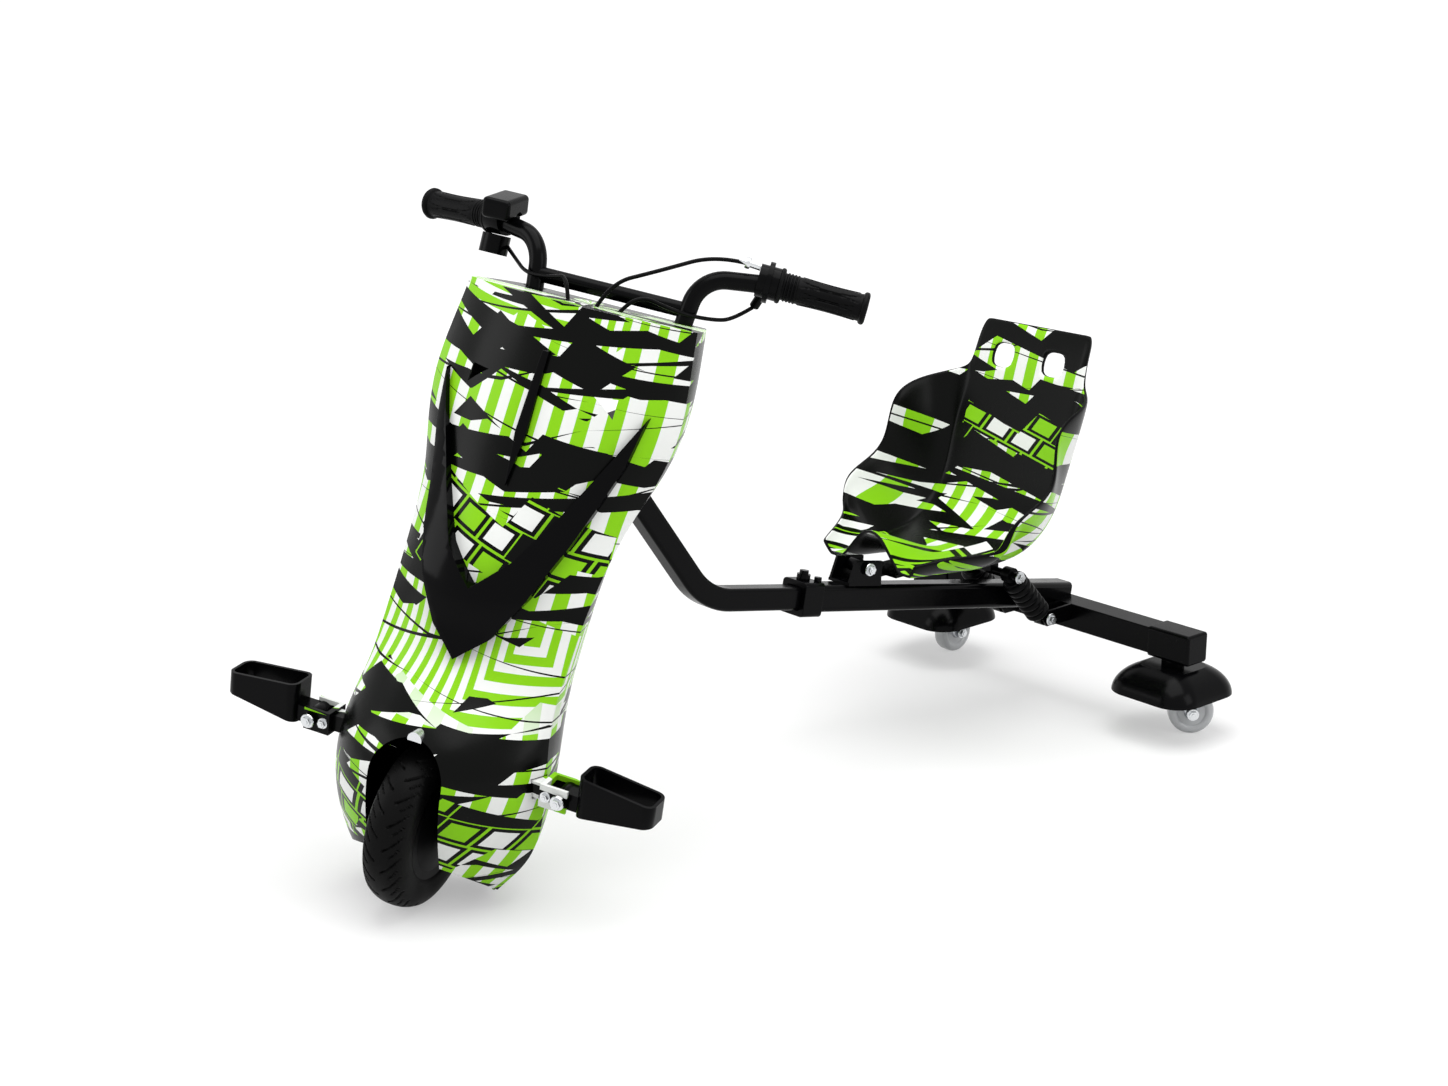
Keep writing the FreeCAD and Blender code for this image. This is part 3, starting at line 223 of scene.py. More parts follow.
# %% Plain finishes
BLACK_GLOSS = {"ior": 1.26, "specular": 0.2}
black_powder_coat = grained("black powder coated steel", "#040405", 0.22, 1.6, 0.05, spread=0.05,
                            **BLACK_GLOSS)
black_abs = grained("black moulded ABS", "#040405", 0.22, 2.5, 0.02, spread=0.06, **BLACK_GLOSS)
gloss_abs = grained("gloss black ABS", "#030304", 0.12, 2.5, 0.01, spread=0.04, **BLACK_GLOSS)
grip_rubber = grained("moulded grip rubber", "#070708", 0.44, 0.8, 0.12, spread=0.08, **BLACK_GLOSS)
tyre_rubber = grained("tyre rubber", "#090909", 0.50, 0.9, 0.15, spread=0.1, **BLACK_GLOSS)
boot_rubber = grained("bellows rubber", "#050506", 0.36, 1.0, 0.08, **BLACK_GLOSS)
zinc_plate = grained("zinc plated steel", "#b9bcc0", 0.30, 0.7, 0.06, metallic=1.0, spread=0.08)
bright_bolt = grained("bright zinc bolt", "#d6d8da", 0.22, 0.6, 0.04, metallic=1.0, spread=0.06)
wheel_urethane = grained("clear urethane", "#c2c4c6", 0.20, 1.2, 0.03, coat=0.3)
cable_jacket = grained("cable jacket PVC", "#050506", 0.30, 1.0, 0.03, **BLACK_GLOSS)
motor_cover = grained("satin black cast cover", "#070708", 0.40, 1.0, 0.08, **BLACK_GLOSS)
battery_case = grained("battery shrink wrap", "#121316", 0.5, 2.0, 0.05)



def pair(*stems):
    """The names of pieces that come left and right."""
    return [stem + "_" + hand for stem in stems for hand, sign in HANDS]


STEEL = ["rear_tube", "rear_crossbar", "clamp_collar", "main_tube", "head_tube", "fork", "handlebar",
         "seat_bracket_front", "seat_carrier"] + pair("damper_bracket", "peg", "caster_stem")
ABS = ["clamp_knob", "switch_block"] + pair("arm_cap", "caster_cover", "control")
FINISHES = [
    (black_powder_coat, STEEL), (black_abs, ABS), (gloss_abs, ["vee_trim", "centre_spike"]),
    (grip_rubber, pair("grip")), (tyre_rubber, ["front_tyre"]), (boot_rubber, pair("seat_damper")),
    (motor_cover, ["hub_motor"]), (zinc_plate, ["wheel_axle"] + pair("caster_fork")),
    (bright_bolt, ["front_stud"]), (wheel_urethane, pair("caster_wheel")), (cable_jacket, ["control_cables"]),
    (battery_case, ["battery_block"])]


def coat_node(name, material):
    """Gives a piece of the model one finish."""
    data = nodes[name].data
    data.materials.clear()
    data.materials.append(material)


for material, names in FINISHES:
    for name in names:
        coat_node(name, material)

# %% [markdown]
# ## Rounded edges
# Rolled and moulded edges catch the light. On these pieces each sharp edge is rounded by a radius in
# millimetres, after points that lie together are welded.

# %% Rounded edges
EDGE_MM = [
    (1.5, ["rear_crossbar", "vee_trim"] + pair("arm_cap")), (1.2, ["rear_tube", "centre_spike"]),
    (1.0, ["clamp_collar", "control_right"]), (0.8, pair("peg")),
    (0.6, ["seat_bracket_front", "seat_carrier", "clamp_knob"] + pair("damper_bracket")),
    (0.5, pair("caster_fork"))]
WELD_DISTANCE = 0.00002
SHARP_FROM = math.radians(35)
for radius, names in EDGE_MM:
    for name in names:
        weld = nodes[name].modifiers.new("weld", "WELD")
        weld.merge_threshold = WELD_DISTANCE
        rounding = nodes[name].modifiers.new("edges", "BEVEL")
        rounding.width = radius / 1000
        rounding.segments = 3
        rounding.limit_method = "ANGLE"
        rounding.angle_limit = SHARP_FROM
        rounding.harden_normals = True

# %% [markdown]
# ## The printed shell
# The real shell and seat are moulded ABS, dipped in a printed film and lacquered. Green and white stripes
# run up the form and nested chevrons fill some of the bands. Long black shards with ragged edges cut across
# them. The design is made for this model from plain stripes, chevrons, shards and leaning tiles. The pattern
# is worked out on an unrolled sheet: `across` is the distance round the form, `high` is the height on it.


# %% Print helpers
def maths(tree, operation, *values):
    """The result of one sum on numbers or outputs."""
    return add(tree, "Math", dict(enumerate(values)), operation=operation).outputs[0]


def blend(tree, factor, under, over):
    """One colour laid over another where the factor is 1."""
    return add(tree, "MixRGB", {"Fac": factor, "Color1": under, "Color2": over}).outputs[0]


def band(tree, value, low, high):
    """1 where a value lies between two limits."""
    above = maths(tree, "GREATER_THAN", value, low)
    below = maths(tree, "LESS_THAN", value, high)
    return maths(tree, "MULTIPLY", above, below)


def stripes(tree, value, period, share):
    """1 over the first share of each period."""
    part = maths(tree, "FRACT", maths(tree, "DIVIDE", value, period))
    return maths(tree, "LESS_THAN", part, share)


def chance_of(tree, number, seed):
    """A fixed chance value from 0 to 1 for a whole number."""
    seeded = maths(tree, "ADD", number, seed)
    return add(tree, "TexWhiteNoise", {"W": seeded}, noise_dimensions="1D").outputs["Value"]


def spikes(tree, value, period, shift):
    """Long slopes that end in short ones, from 0 up to 0.8 and back in each period."""
    part = maths(tree, "FRACT", maths(tree, "ADD", maths(tree, "DIVIDE", value, period), shift))
    return maths(tree, "MINIMUM", part, maths(tree, "MULTIPLY", maths(tree, "SUBTRACT", 1.0, part), 4.0))


def shards(tree, across, along, tilt, row_height, length, fullness, seed):
    """Long tapering slashes in rows, each row shifted and stretched by chance."""
    tilted = maths(tree, "ADD", along, maths(tree, "MULTIPLY", across, tilt))
    scaled = maths(tree, "DIVIDE", tilted, row_height)
    chance = chance_of(tree, maths(tree, "FLOOR", scaled), seed)
    stretch = maths(tree, "ADD", maths(tree, "MULTIPLY", chance, 0.8), 0.6)
    run = maths(tree, "MULTIPLY", maths(tree, "DIVIDE", across, length), stretch)
    taper = spikes(tree, maths(tree, "ADD", run, maths(tree, "MULTIPLY", chance, 7.3)), 1.0, 0.0)
    lean = maths(tree, "ADD", maths(tree, "FRACT", scaled), maths(tree, "MULTIPLY", taper, 0.22))
    off_centre = maths(tree, "ABSOLUTE", maths(tree, "SUBTRACT", lean, 0.58))
    return maths(tree, "LESS_THAN", off_centre, maths(tree, "MULTIPLY", taper, fullness))


def tiles(tree, across, along, width, height, lean, seed):
    """How far out a point lies in its tile, 0 in the middle to 1 at the edge, and the tile's chance."""
    row_at = maths(tree, "DIVIDE", maths(tree, "ADD", along, maths(tree, "MULTIPLY", across, 0.22)), height)
    row = maths(tree, "FLOOR", row_at)
    slid = maths(tree, "SUBTRACT", across, maths(tree, "MULTIPLY", along, lean))
    column_at = maths(tree, "ADD", maths(tree, "DIVIDE", slid, width),
                      maths(tree, "MULTIPLY", chance_of(tree, row, seed), 0.9))
    column = maths(tree, "FLOOR", column_at)
    out_row = maths(tree, "ABSOLUTE", maths(tree, "SUBTRACT", maths(tree, "FRACT", row_at), 0.5))
    out_column = maths(tree, "ABSOLUTE", maths(tree, "SUBTRACT", maths(tree, "FRACT", column_at), 0.5))
    reach = maths(tree, "MULTIPLY", maths(tree, "MAXIMUM", out_row, out_column), 2.0)
    number = maths(tree, "ADD", maths(tree, "MULTIPLY", row, 17.0), column)
    return reach, chance_of(tree, number, seed + 5.0)


GREEN, WHITE, BLACK, BARE_ABS = "#8bd21c", "#f1f3f0", "#030403", "#060607"
HAIRLINES = ((0.09, 0.047, 0.33, 0.035, 11.0), (-0.18, 0.071, 0.41, 0.035, 23.0))
TILE_WIDTH, TILE_HEIGHT, TILE_LEAN = 0.056, 0.032, 0.55


def film(name, unroll, layout):
    """Lacquered ABS under a printed film; unroll gives the sheet's two distances and its inner side."""
    material, tree, output = new_material(name)
    across, high, inside = unroll(tree)
    green, white, black, bare = (paint(colour) for colour in (GREEN, WHITE, BLACK, BARE_ABS))
    fade_low, fade_high = layout["fade"]
    fade = add(tree, "MapRange", {"Value": high, "From Min": fade_low, "From Max": fade_high,
                                  "To Min": 0.75, "To Max": 0.0}).outputs[0]
    above = maths(tree, "GREATER_THAN", high, fade_low)
    fading_green = blend(tree, maths(tree, "MULTIPLY", fade, above), green, white)
    ink = blend(tree, stripes(tree, across, layout["stripe"] * 2, 0.5), white, fading_green)
    low_spikes, top_spikes = spikes(tree, across, 0.19, 0.35), spikes(tree, across, -0.145, 0.1)
    low_edge = maths(tree, "ADD", high, maths(tree, "MULTIPLY", low_spikes, 0.040))
    top_edge = maths(tree, "SUBTRACT", high, maths(tree, "MULTIPLY", top_spikes, 0.045))

    def zone(low, top):
        """1 between two ragged edges."""
        return maths(tree, "MULTIPLY", maths(tree, "GREATER_THAN", low_edge, low),
                     maths(tree, "LESS_THAN", top_edge, top))

    for low, top, centre in layout["chevrons"]:
        fold = maths(tree, "ABSOLUTE", maths(tree, "SUBTRACT", across, centre))
        nested = maths(tree, "MAXIMUM", fold, maths(tree, "SUBTRACT", top, high))
        pattern = blend(tree, stripes(tree, nested, layout["stripe"] * 1.1, 0.5), white, green)
        ink = blend(tree, zone(low, top), ink, pattern)
    for shape in HAIRLINES:
        ink = blend(tree, shards(tree, across, high, *shape), ink, black)
    for index, (low, top) in enumerate(layout["shards"]):
        within = zone(low, top)
        for tilt, row_height, seed in ((-0.10, 0.030, 3.0 + index), (0.13, 0.043, 13.0 + index)):
            slashes = shards(tree, across, high, tilt, row_height, 0.34, 0.46, seed)
            ink = blend(tree, maths(tree, "MULTIPLY", slashes, within), ink, black)
    for low, top in layout["solid"]:
        ink = blend(tree, zone(low, top), ink, black)
    for index, (low, top, first, last) in enumerate(layout["tiles"]):
        reach, chance = tiles(tree, across, high, TILE_WIDTH, TILE_HEIGHT, TILE_LEAN, 31.0 + index)
        face = blend(tree, maths(tree, "GREATER_THAN", chance, 0.5), green, white)
        pattern = blend(tree, maths(tree, "GREATER_THAN", reach, 0.66), face, black)
        pattern = blend(tree, maths(tree, "GREATER_THAN", reach, 0.91), pattern, green)
        pattern = blend(tree, maths(tree, "LESS_THAN", chance, 0.2), pattern, black)
        shown = maths(tree, "MULTIPLY", zone(low, top), band(tree, across, first, last))
        ink = blend(tree, shown, ink, pattern)
    ink = blend(tree, inside, ink, bare)
    place = add(tree, "TexCoord").outputs["Object"]
    peel = add(tree, "TexNoise", {"Vector": place, "Scale": 260.0, "Detail": 2.0}).outputs["Fac"]
    relief = add(tree, "Bump", {"Height": peel, "Strength": 0.05, "Distance": 0.0006})
    cloud = add(tree, "TexNoise", {"Vector": place, "Scale": 14.0}).outputs["Fac"]
    gloss = add(tree, "MapRange", {"Value": cloud, "To Min": 0.2, "To Max": 0.32})
    shader = add(tree, "BsdfPrincipled", {"Base Color": ink, "Roughness": gloss.outputs[0], "IOR": 1.3,
                                          "Specular IOR Level": 0.22, "Normal": relief.outputs[0]})
    tree.links.new(shader.outputs[0], output.inputs["Surface"])
    return material


# %% [markdown]
# ## Print on the front shell
# The shell leans with the steering axis, so the sheet is wrapped round a leaning middle line. Faces that
# look inwards stay plain black, as the film is only on the outside.

# %% Print on the front shell
undo = straight_ahead.inverted()
undo_turn = undo.to_3x3().to_euler()
SHELL_LEAN = 0.449
SHELL_MID = 0.100 - SHELL_LEAN * 0.295
WRAP_RADIUS = 0.125


def unroll_front(tree):
    """Distance round the shell, height on it, and 1 on its inner faces."""
    coordinates = add(tree, "TexCoord")
    local = add(tree, "Mapping", {"Vector": coordinates.outputs["Object"], "Location": undo.translation,
                                  "Rotation": undo_turn}, vector_type="POINT").outputs[0]
    facing = add(tree, "Mapping", {"Vector": coordinates.outputs["Normal"], "Rotation": undo_turn},
                 vector_type="VECTOR").outputs[0]
    place = add(tree, "SeparateXYZ", {0: local})
    heading = add(tree, "SeparateXYZ", {0: facing})
    x, y, z = (place.outputs[i] for i in range(3))
    middle = maths(tree, "ADD", maths(tree, "MULTIPLY", z, SHELL_LEAN), SHELL_MID)
    back = maths(tree, "SUBTRACT", maths(tree, "ADD", middle, 0.04), y)
    angle = maths(tree, "ARCTAN2", x, back)
    across = maths(tree, "MULTIPLY", angle, WRAP_RADIUS)
    outwards = maths(tree, "SUBTRACT", maths(tree, "MULTIPLY", x, heading.outputs[0]),
                     maths(tree, "MULTIPLY", back, heading.outputs[1]))
    lifted = maths(tree, "ADD", outwards, maths(tree, "MULTIPLY", heading.outputs[2], 0.05))
    inside = maths(tree, "LESS_THAN", lifted, 0.0)
    return across, z, inside


SHELL_LAYOUT = {
    "stripe": 0.018, "fade": (0.235, 0.335), "chevrons": [(0.265, 0.33, 0.10), (0.66, 0.76, -0.06)],
    "shards": [(0.0, 0.075), (0.175, 0.235), (0.35, 0.40), (0.47, 0.52), (0.595, 0.655)],
    "solid": [(0.215, 0.20), (0.52, 0.49), (0.625, 0.615)],
    "tiles": [(0.105, 0.135, -0.22, 0.25), (0.405, 0.44, -0.12, 0.16)]}
shell_print = film("printed ABS shell", unroll_front, SHELL_LAYOUT)
for name in ("front_shell", "peg_bracket_left", "peg_bracket_right"):
    coat_node(name, shell_print)


# %% [markdown]
# ## Print on the seat
# The seat's sheet runs up its back and forward over its pan, both counted as one height.

# %% Print on the seat
def unroll_seat(tree):
    """Distance across the seat, distance along it, and 0 on all faces."""
    local = add(tree, "Mapping", {"Vector": add(tree, "TexCoord").outputs["Object"], "Location": -footprint},
                vector_type="POINT").outputs[0]
    place = add(tree, "SeparateXYZ", {0: local})
    x, y, z = (place.outputs[i] for i in range(3))
    return x, maths(tree, "ADD", z, maths(tree, "MULTIPLY", y, 0.35)), 0.0


SEAT_LAYOUT = {
    "stripe": 0.018, "fade": (0.40, 0.41), "chevrons": [],
    "shards": [(0.50, 0.60), (0.655, 0.70), (0.79, 0.82)],
    "solid": [(0.70, 0.72), (0.775, 0.80), (0.89, 0.895)],
    "tiles": [(0.535, 0.555, -0.11, 0.11), (0.745, 0.755, -0.09, 0.10)]}
seat_print = film("printed ABS seat", unroll_seat, SEAT_LAYOUT)
coat_node("seat_shell", seat_print)

# %% [markdown]
# ## Making a piece
# A finished piece is one mesh whose object stays at the origin, as the model's own pieces do. Pieces of the
# front assembly are modelled straight ahead in millimetres from the tyre's footprint and then turned.

# %% Helpers for pieces
MM = 0.001
from_footprint = Matrix.Translation(footprint) @ Matrix.Scale(MM, 4)
from_straight = straight_ahead @ Matrix.Scale(MM, 4)


def finish_piece(name, mesh, place, body, materials, smooth=40):
    """Sets a bmesh in its place, smooths it by angle and lets it ride on a body."""
    bmesh.ops.transform(mesh, matrix=place, verts=mesh.verts)
    bmesh.ops.recalc_face_normals(mesh, faces=mesh.faces)
    data = bpy.data.meshes.new(name)
    mesh.to_mesh(data)
    mesh.free()
    for material in materials:
        data.materials.append(material)
    data.shade_smooth()
    data.set_sharp_from_angle(angle=math.radians(smooth))
    piece = bpy.data.objects.new(name, data)
    bpy.context.scene.collection.objects.link(piece)
    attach(piece, body)
    print(name, len(data.polygons), "faces")
    return piece


def aim_x(start, direction):
    """Turns the x axis to a direction and moves the origin to a start."""
    return Matrix.Translation(start) @ Vector(direction).to_track_quat("X", "Z").to_matrix().to_4x4()


def spun(profile, steps):
    """A profile of distance along x and radius, spun once about x."""
    mesh = bmesh.new()
    ring = [mesh.verts.new((along, 0, radius)) for along, radius in profile]
    edges = [mesh.edges.new(pair) for pair in zip(ring, ring[1:])]
    bmesh.ops.spin(mesh, geom=ring + edges, cent=(0, 0, 0), axis=(1, 0, 0), angle=math.tau, steps=steps,
                   use_merge=True)
    bmesh.ops.remove_doubles(mesh, verts=mesh.verts, dist=0.001)
    return mesh


def cap_ends(mesh):
    """Closes the open rings of a spun piece."""
    bmesh.ops.holes_fill(mesh, edges=[edge for edge in mesh.edges if edge.is_boundary], sides=0)


# %% [markdown]
# ## Front tyre
# A scooter tyre has a round crown with curved grooves that run outwards and back from its middle. The crown
# is spun finely enough that the grooves can be pressed into it, vertex by vertex.

# %% Front tyre
TYRE_RADIUS = 100.0
GROOVES, GROOVE_DEPTH, GROOVE_HALF = 22, 2.6, 1.7
side = [(-24, 62), (-25.6, 68), (-27, 76), (-27, 83), (-25.5, 88.5), (-23.4, 92), (-21.5, 94.2)]
crown = [(x, TYRE_RADIUS - 5.9 * abs(x / 21.5) ** 2.4) for x in [-19.5 + 1.5 * i for i in range(27)]]
profile = side + crown + [(-x, r) for x, r in reversed(side)]
profile += [(22, 60), (-22, 60), profile[0]]
tyre = spun(profile, 420)


def groove(x, around):
    """How deep the tread is cut at a distance from the middle and an angle round the wheel, 0 to 1."""
    reach = abs(x)
    hand = 1 if x > 0 else -1
    pitch = around * GROOVES / math.tau + (0.25 if hand > 0 else -0.25)
    curve = 0.010 * reach + 0.0011 * reach ** 2
    phase = (pitch + curve + 0.5) % 1 - 0.5
    width = math.tau * TYRE_RADIUS / GROOVES
    lateral = 1 - min(1, abs(phase) * width / GROOVE_HALF)
    span = 1 if 3.5 < reach < 24 else 0
    second = (pitch * 2 + curve * 2 + 0.5) % 1 - 0.5
    fine = (1 - min(1, abs(second) * width / 2 / (GROOVE_HALF * 0.7))) * (1 if 12 < reach < 23 else 0)
    return max(lateral * span, fine * 0.8)


for vert in tyre.verts:
    radius = math.hypot(vert.co.y, vert.co.z)
    if radius > 88:
        depth = GROOVE_DEPTH * min(1, 1.8 * groove(vert.co.x, math.atan2(vert.co.z, vert.co.y)))
        vert.co.y *= (radius - depth) / radius
        vert.co.z *= (radius - depth) / radius
treaded = finish_piece("treaded_tyre", tyre, from_straight @ Matrix.Translation((0, 0, TYRE_RADIUS)),
                       "front_wheel", [tyre_rubber], 32)
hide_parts("front_tyre")

# %% [markdown]
# ## Grips
# Each grip is one rubber moulding: an inner flange, three rings, a waisted handle with long oval pads and a
# beaded end. The pads are raised round the handle where the fingers and the palm lie.

# %% Grips
GRIP_END = Vector((294, 439, 695.5))
GRIP_ALONG = (GRIP_END - Vector((199, 411.5, 706))).normalized()
GRIP_LENGTH = 108


def grip_profile():
    """Radius along the grip, from the inner flange to the end."""
    points = [(0, 11.2), (0, 20), (1, 21.5), (4, 21.5), (5.5, 20), (6, 16.5)]
    for ring in range(4):
        start = 8 + ring * 4
        points += [(start, 16.2), (start + 1, 17.4), (start + 2.4, 17.4), (start + 3.4, 16.2)]
    points += [(26 + step * 1.5, 16.4 - 0.9 * math.sin(math.pi * step / 50)) for step in range(50)]
    points += [(101.5, 16.6), (102.5, 18.6), (104, 19.6), (106.5, 19.8), (108.5, 18.8), (109.5, 16),
               (109.8, 6), (109.8, 0)]
    return points


for hand, sign in HANDS:
    grip = spun(grip_profile(), 96)
    for vert in grip.verts:
        along = vert.co.x
        around = math.atan2(vert.co.z, vert.co.y)
        pad = (along - 62) / 36
        if abs(pad) < 1:
            lobe = abs((around * 8 / math.tau) % 1 - 0.5) * 2
            edge = lobe / math.sqrt(1 - pad ** 2) if abs(pad) < 0.999 else 9
            relief = 0.9 if edge < 0.72 else (-0.5 if edge < 1.0 else 0.2)
            scale = 1 + relief / 16
            vert.co.y *= scale
            vert.co.z *= scale
    start = GRIP_END - GRIP_ALONG * (GRIP_LENGTH - 1)
    place = aim_x(start, GRIP_ALONG)
    if sign < 0:
        place = Matrix.Scale(-1, 4, (1, 0, 0)) @ place
    piece = finish_piece("moulded_grip_" + hand, grip, from_straight @ place, "steering", [grip_rubber], 50)
    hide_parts("grip_" + hand)

# %% [markdown]
# ## Bellows under the seat
# Two rubber bellows take the seat's spring. Each is spun from rounded ribs between its two bolts.

# %% Bellows
EYE_RADIUS, EYE_WIDTH = 11, 14
for hand, sign in HANDS:
    low = Vector((sign * 40, 1030, 138))
    high = Vector((sign * 40, 958, 215))
    length = (high - low).length
    points = [(10, 6.2), (11, 13)]
    for rib in range(7):
        start = 12 + rib * 11.6
        points += [(start, 13.2), (start + 1.4, 16.8), (start + 3.4, 18), (start + 7, 18),
                   (start + 9, 16.8), (start + 10.6, 13.2)]
    points += [(length - 10, 13), (length - 8, 6.2)]
    bellows = spun(points, 48)
    cap_ends(bellows)
    stand = aim_x(low, high - low)
    back = stand.inverted()
    level_eye = (back.to_3x3() @ Vector((1, 0, 0))).to_track_quat("Z", "X").to_matrix().to_4x4()
    for end in (low, high):
        bmesh.ops.create_cone(bellows, cap_ends=True, segments=32, radius1=EYE_RADIUS, radius2=EYE_RADIUS,
                              depth=EYE_WIDTH, matrix=Matrix.Translation(back @ end) @ level_eye)
    piece = finish_piece("seat_bellows_" + hand, bellows, from_footprint @ stand, "frame", [boot_rubber], 45)
    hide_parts("seat_damper_" + hand)

# %% [markdown]
# ## Seat
# The bucket is one thin ABS moulding. It is laid out as a grid from front lip to top edge, shaped by a table
# of its middle line and its rim, opened at two grip slots and then given its wall. The rim of the wall
# takes the black edge that the real seat has.

# %% Seat
SEAT_ROWS = [
    (722, 263, 74, 718, 282, 88), (745, 262, 76, 742, 287, 100), (775, 261, 80, 775, 291, 118),
    (806, 260, 88, 812, 294, 146), (828, 260, 93, 828, 300, 160), (838, 260, 95, 829, 332, 164),
    (858, 261, 99, 848, 347, 166), (895, 264, 102, 884, 360, 166), (925, 274, 104, 905, 378, 164),
    (953, 294, 106, 911, 402, 161), (974, 321, 107, 914, 438, 157), (986, 352, 107, 930, 456, 155),
    (994, 380, 107, 960, 465, 152), (1003, 412, 105, 990, 470, 142), (1012, 442, 101, 1014, 476, 122),
    (1020, 466, 96, 1025, 481, 107), (1026, 487, 93, 1031, 495, 101), (1036, 519, 92, 1039, 521, 99),
    (1044, 536, 91, 1046, 537, 98), (1050, 548, 84, 1050, 547, 93)]
ACROSS = [0.0, 0.14, 0.28, 0.50, 0.72, 0.86, 1.0]
WING = [(0.10, 0.05), (0.30, 0.17), (0.52, 0.36), (0.74, 0.60), (0.90, 0.82), (1.0, 1.0)]
SLOT_LOW, SLOT_TOP, SLOT_IN, SLOT_OUT = 487, 519, 0.28, 0.72  # heights, and shares of the half width
SLOT_CREASE = 0.85
POMMEL_FROM, POMMEL_LENGTH, POMMEL_HALF = 716, 140, 50
SEAT_WALL = 0.006
seat_mesh = bmesh.new()
columns = len(ACROSS) + len(WING)
rows = []
for middle_y, middle_z, half, rim_y, rim_z, rim_half in SEAT_ROWS:
    row = []
    for sign in (-1, 1):
        strip = []
        for share in ACROSS:
            strip.append((sign * share * half, middle_y, middle_z))
        for out, up in WING:
            strip.append((sign * (half + (rim_half - half) * out), middle_y + (rim_y - middle_y) * up,
                          middle_z + (rim_z - middle_z) * up))
        row += strip[:0:-1] if sign < 0 else strip
    rows.append(row)
wide = 2 * columns - 1
bmesh.ops.create_grid(seat_mesh, x_segments=wide - 1, y_segments=len(rows) - 1, size=1)
seat_mesh.verts.ensure_lookup_table()
for vert in seat_mesh.verts:
    column = round((vert.co.x + 1) / 2 * (wide - 1))
    row = round((vert.co.y + 1) / 2 * (len(rows) - 1))
    vert.co = Vector(rows[row][column])
    pommel = POMMEL_HALF * (1 - (vert.co.y - POMMEL_FROM) / POMMEL_LENGTH)
    if 0 < pommel and abs(vert.co.x) < pommel:
        vert.co.z += pommel * (1 - (vert.co.x / pommel) ** 2)
doomed = []
for face in seat_mesh.faces:
    centre = face.calc_center_median()
    if SLOT_LOW < centre.z < SLOT_TOP and SLOT_IN < abs(centre.x) / 92.5 < SLOT_OUT and centre.y > 1000:
        doomed.append(face)
bmesh.ops.delete(seat_mesh, geom=doomed, context="FACES")
crease = seat_mesh.edges.layers.float.new("crease_edge")
for edge in seat_mesh.edges:
    middle = (edge.verts[0].co + edge.verts[1].co) / 2
    round_slot = edge.is_boundary and SLOT_LOW - 3 < middle.z < SLOT_TOP + 3 and abs(middle.x) < 72
    edge[crease] = SLOT_CREASE if round_slot else 0.0
seat_piece = finish_piece("moulded_seat", seat_mesh, from_footprint, "frame", [seat_print, black_abs], 180)
solid = seat_piece.modifiers.new("wall", "SOLIDIFY")
solid.thickness = SEAT_WALL
solid.use_even_offset = True
solid.offset = -1
solid.material_offset_rim = 1
curve = seat_piece.modifiers.new("round", "SUBSURF")
curve.levels = curve.render_levels = 2
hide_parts("seat_shell")

# %% [markdown]
# ## Bolts
# Bright hexagon heads with a washer show at the peg hinges, the seat bracket and the bellows.


# %% Bolts
def bolt_head(mesh, at, along, radius):
    """A hexagon head on a round washer, standing on a face."""
    place = Matrix.Translation(at) @ Vector(along).to_track_quat("Z", "X").to_matrix().to_4x4()
    washer, head, thread_end = (40, 1.35, 1.2, 0.6), (6, 1.0, 4.0, 3.2), (24, 0.5, 1.0, 5.6)
    for sides, share, depth, lift in (washer, head, thread_end):
        wide = radius * share
        bmesh.ops.create_cone(mesh, cap_ends=True, segments=sides, radius1=wide, radius2=wide * 0.94,
                              depth=depth, matrix=place @ Matrix.Translation((0, 0, lift)))


BOLT_RADIUS, SMALL_BOLT_RADIUS = 6.5, 5.0
peg_bolts = bmesh.new()
for hand, sign in HANDS:
    bolt_head(peg_bolts, (sign * 163.4, 4.3, 177), (0, -1, 0), BOLT_RADIUS)
    bolt_head(peg_bolts, (sign * 146, 10.2, 177), (0, -1, 0), SMALL_BOLT_RADIUS)
piece = finish_piece("peg_hinge_bolts", peg_bolts, from_straight, "steering", [bright_bolt], 30)

frame_bolts = bmesh.new()
for hand, sign in HANDS:
    for out, behind, up in ((57, 1030, 138), (60, 958, 215), (25, 701.9, 269.4)):
        bolt_head(frame_bolts, (sign * out, behind, up), (sign, 0, 0), BOLT_RADIUS)
piece = finish_piece("frame_bolts", frame_bolts, from_footprint, "frame", [bright_bolt], 30)

# %% [markdown]
# ## Caster wheels
# A clear urethane tread is moulded round a dished hub with a bright bearing, and a nut stands on each side
# of the fork. The two casters trail in different directions, as in the photograph.

# %% Caster wheels
HEADINGS = {"left": 49.5, "right": 92.0}
SWIVEL_OUT, SWIVEL_BACK = 223, 1098
WHEEL_TRAIL, WHEEL_HEIGHT = 28, 31.5
NUT_OUT = 19.5
HUB_RADIUS = 10.2
side = [(-12.4, 5), (-12.4, 8.5), (-11, 9.5), (-8.5, 10.5), (-8.5, 19), (-10.5, 21), (-11.5, 24),
        (-11.3, 27.5), (-9.5, 30.2), (-6.5, 31.3), (-3, 31.5)]


def caster_place(hand, sign):
    """A caster's own frame: the swivel's line is its z axis and the wheel trails along its y axis."""
    return (from_footprint @ Matrix.Translation((sign * SWIVEL_OUT, SWIVEL_BACK, 0))
            @ Matrix.Rotation(math.radians(HEADINGS[hand] - 90), 4, "Z"))


for hand, sign in HANDS:
    nuts = bmesh.new()
    for way in (1, -1):
        bolt_head(nuts, (way * NUT_OUT, WHEEL_TRAIL, WHEEL_HEIGHT), (way, 0, 0), BOLT_RADIUS)
    piece = finish_piece("caster_nuts_" + hand, nuts, caster_place(hand, sign), "caster_fork_" + hand,
                         [bright_bolt], 30)

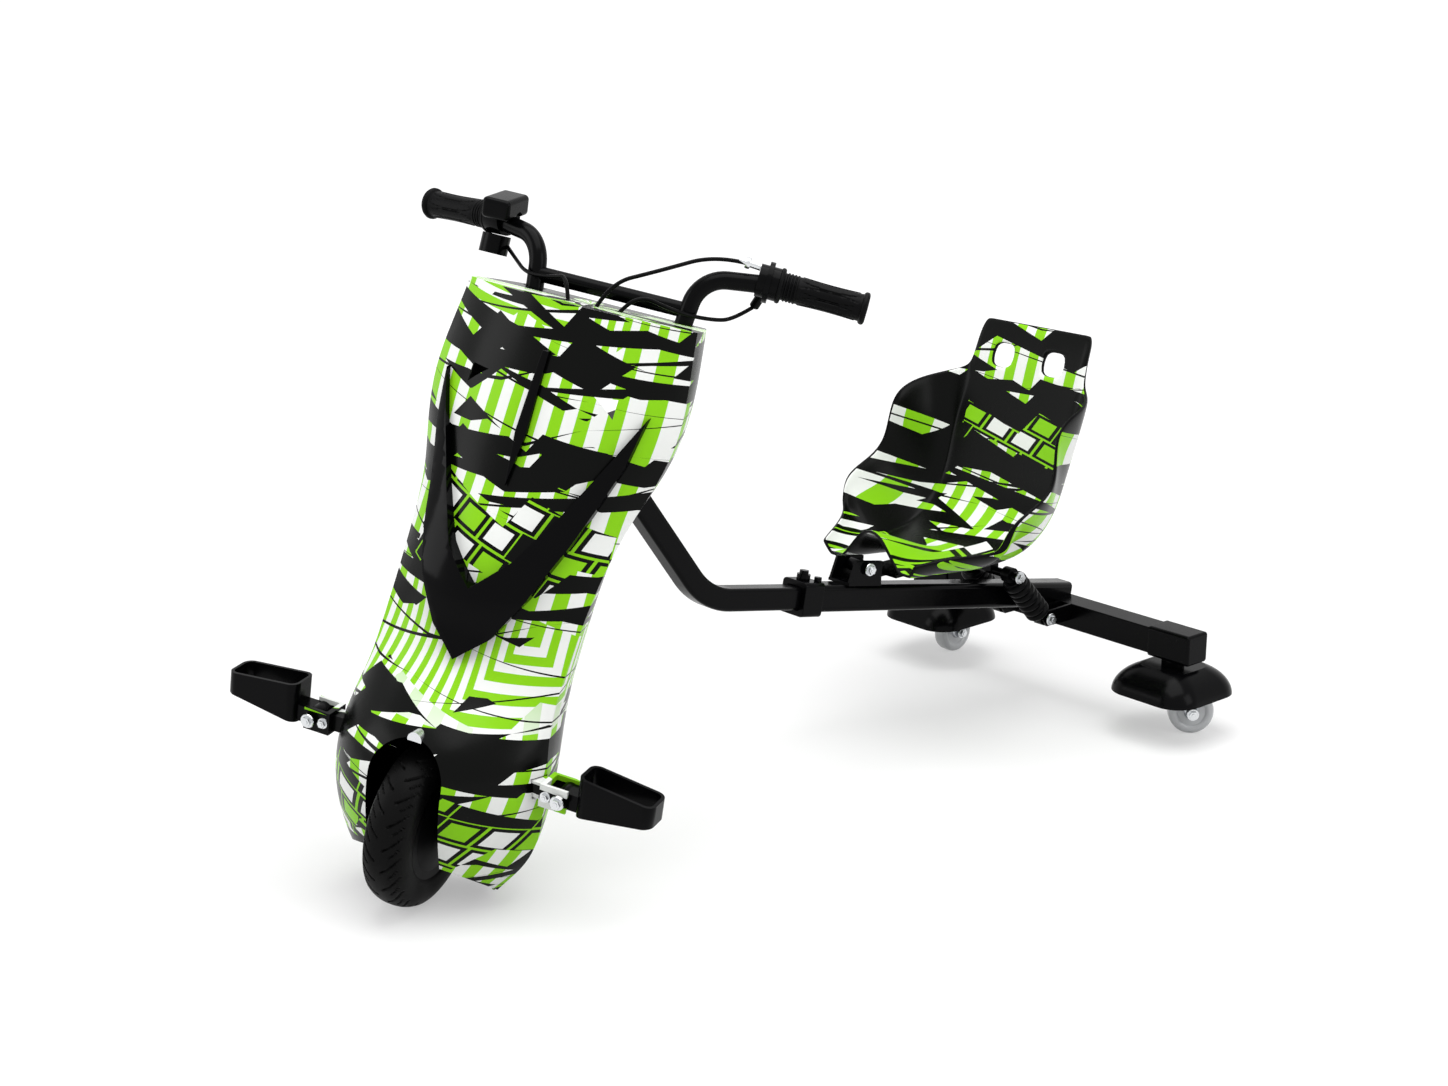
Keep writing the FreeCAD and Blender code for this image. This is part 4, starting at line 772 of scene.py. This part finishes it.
for hand, sign in HANDS:
    wheel = spun(side + [(-x, r) for x, r in reversed(side)] + [side[0]], 96)
    for face in wheel.faces:
        place = face.calc_center_median()
        face.material_index = 1 if math.hypot(place.y, place.z) < HUB_RADIUS else 0
    wheel_place = caster_place(hand, sign) @ Matrix.Translation((0, WHEEL_TRAIL, WHEEL_HEIGHT))
    piece = finish_piece("urethane_wheel_" + hand, wheel, wheel_place, "caster_wheel_" + hand,
                         [wheel_urethane, zinc_plate], 40)
    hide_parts("caster_wheel_" + hand)

# %% [markdown]
# ## Cables
# Two jacketed cables leave the left housing and one leaves the switch. They arch to the shell's roof and go
# down through it. Each is one curve through the points of its route.

# %% Cables
CABLE_RADIUS = 2.5
CABLE_ROUTES = {
    "brake_cable": [(169.1, 402.4, 724.9), (122, 386, 734), (70, 330, 712), (20, 290, 692), (8, 280, 640)],
    "throttle_cable": [(162.2, 418.2, 671.5), (146, 396, 656), (130, 370, 657), (100, 328, 668),
                       (50, 300, 690), (32, 288, 640)],
    "switch_cable": [(-162.7, 399, 675), (-135, 368, 672), (-104, 336, 668), (-62, 318, 676), (-30, 300, 690),
                     (-20, 286, 640)],
}
for name, route in CABLE_ROUTES.items():
    curve = bpy.data.curves.new(name, "CURVE")
    curve.dimensions = "3D"
    curve.bevel_depth = CABLE_RADIUS * MM
    curve.bevel_resolution = 5
    curve.resolution_u = 16
    curve.use_fill_caps = True
    line = curve.splines.new("NURBS")
    line.points.add(len(route) - 1)
    for point, place in zip(line.points, route):
        point.co = (*(from_straight @ Vector(place)), 1)
    line.order_u = 3
    line.use_endpoint_u = True
    curve.materials.append(cable_jacket)
    cable = bpy.data.objects.new(name, curve)
    bpy.context.scene.collection.objects.link(cable)
    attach(cable, "steering")
    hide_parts("control_cables")

# %% [markdown]
# ## Barrel adjuster
# A bright turned barrel stands where the brake cable leaves its housing.

# %% Barrel adjuster
adjuster = spun([(0, 0), (0, 4.4), (13, 4.4), (13, 6.6), (14, 7), (18, 7), (19, 6.6), (19, 3.6), (27, 3.2),
                 (27, 0)], 24)
start, towards = (Vector(point) for point in CABLE_ROUTES["brake_cable"][:2])
piece = finish_piece("barrel_adjuster", adjuster, from_straight @ aim_x(start, towards - start), "steering",
                     [bright_bolt], 35)
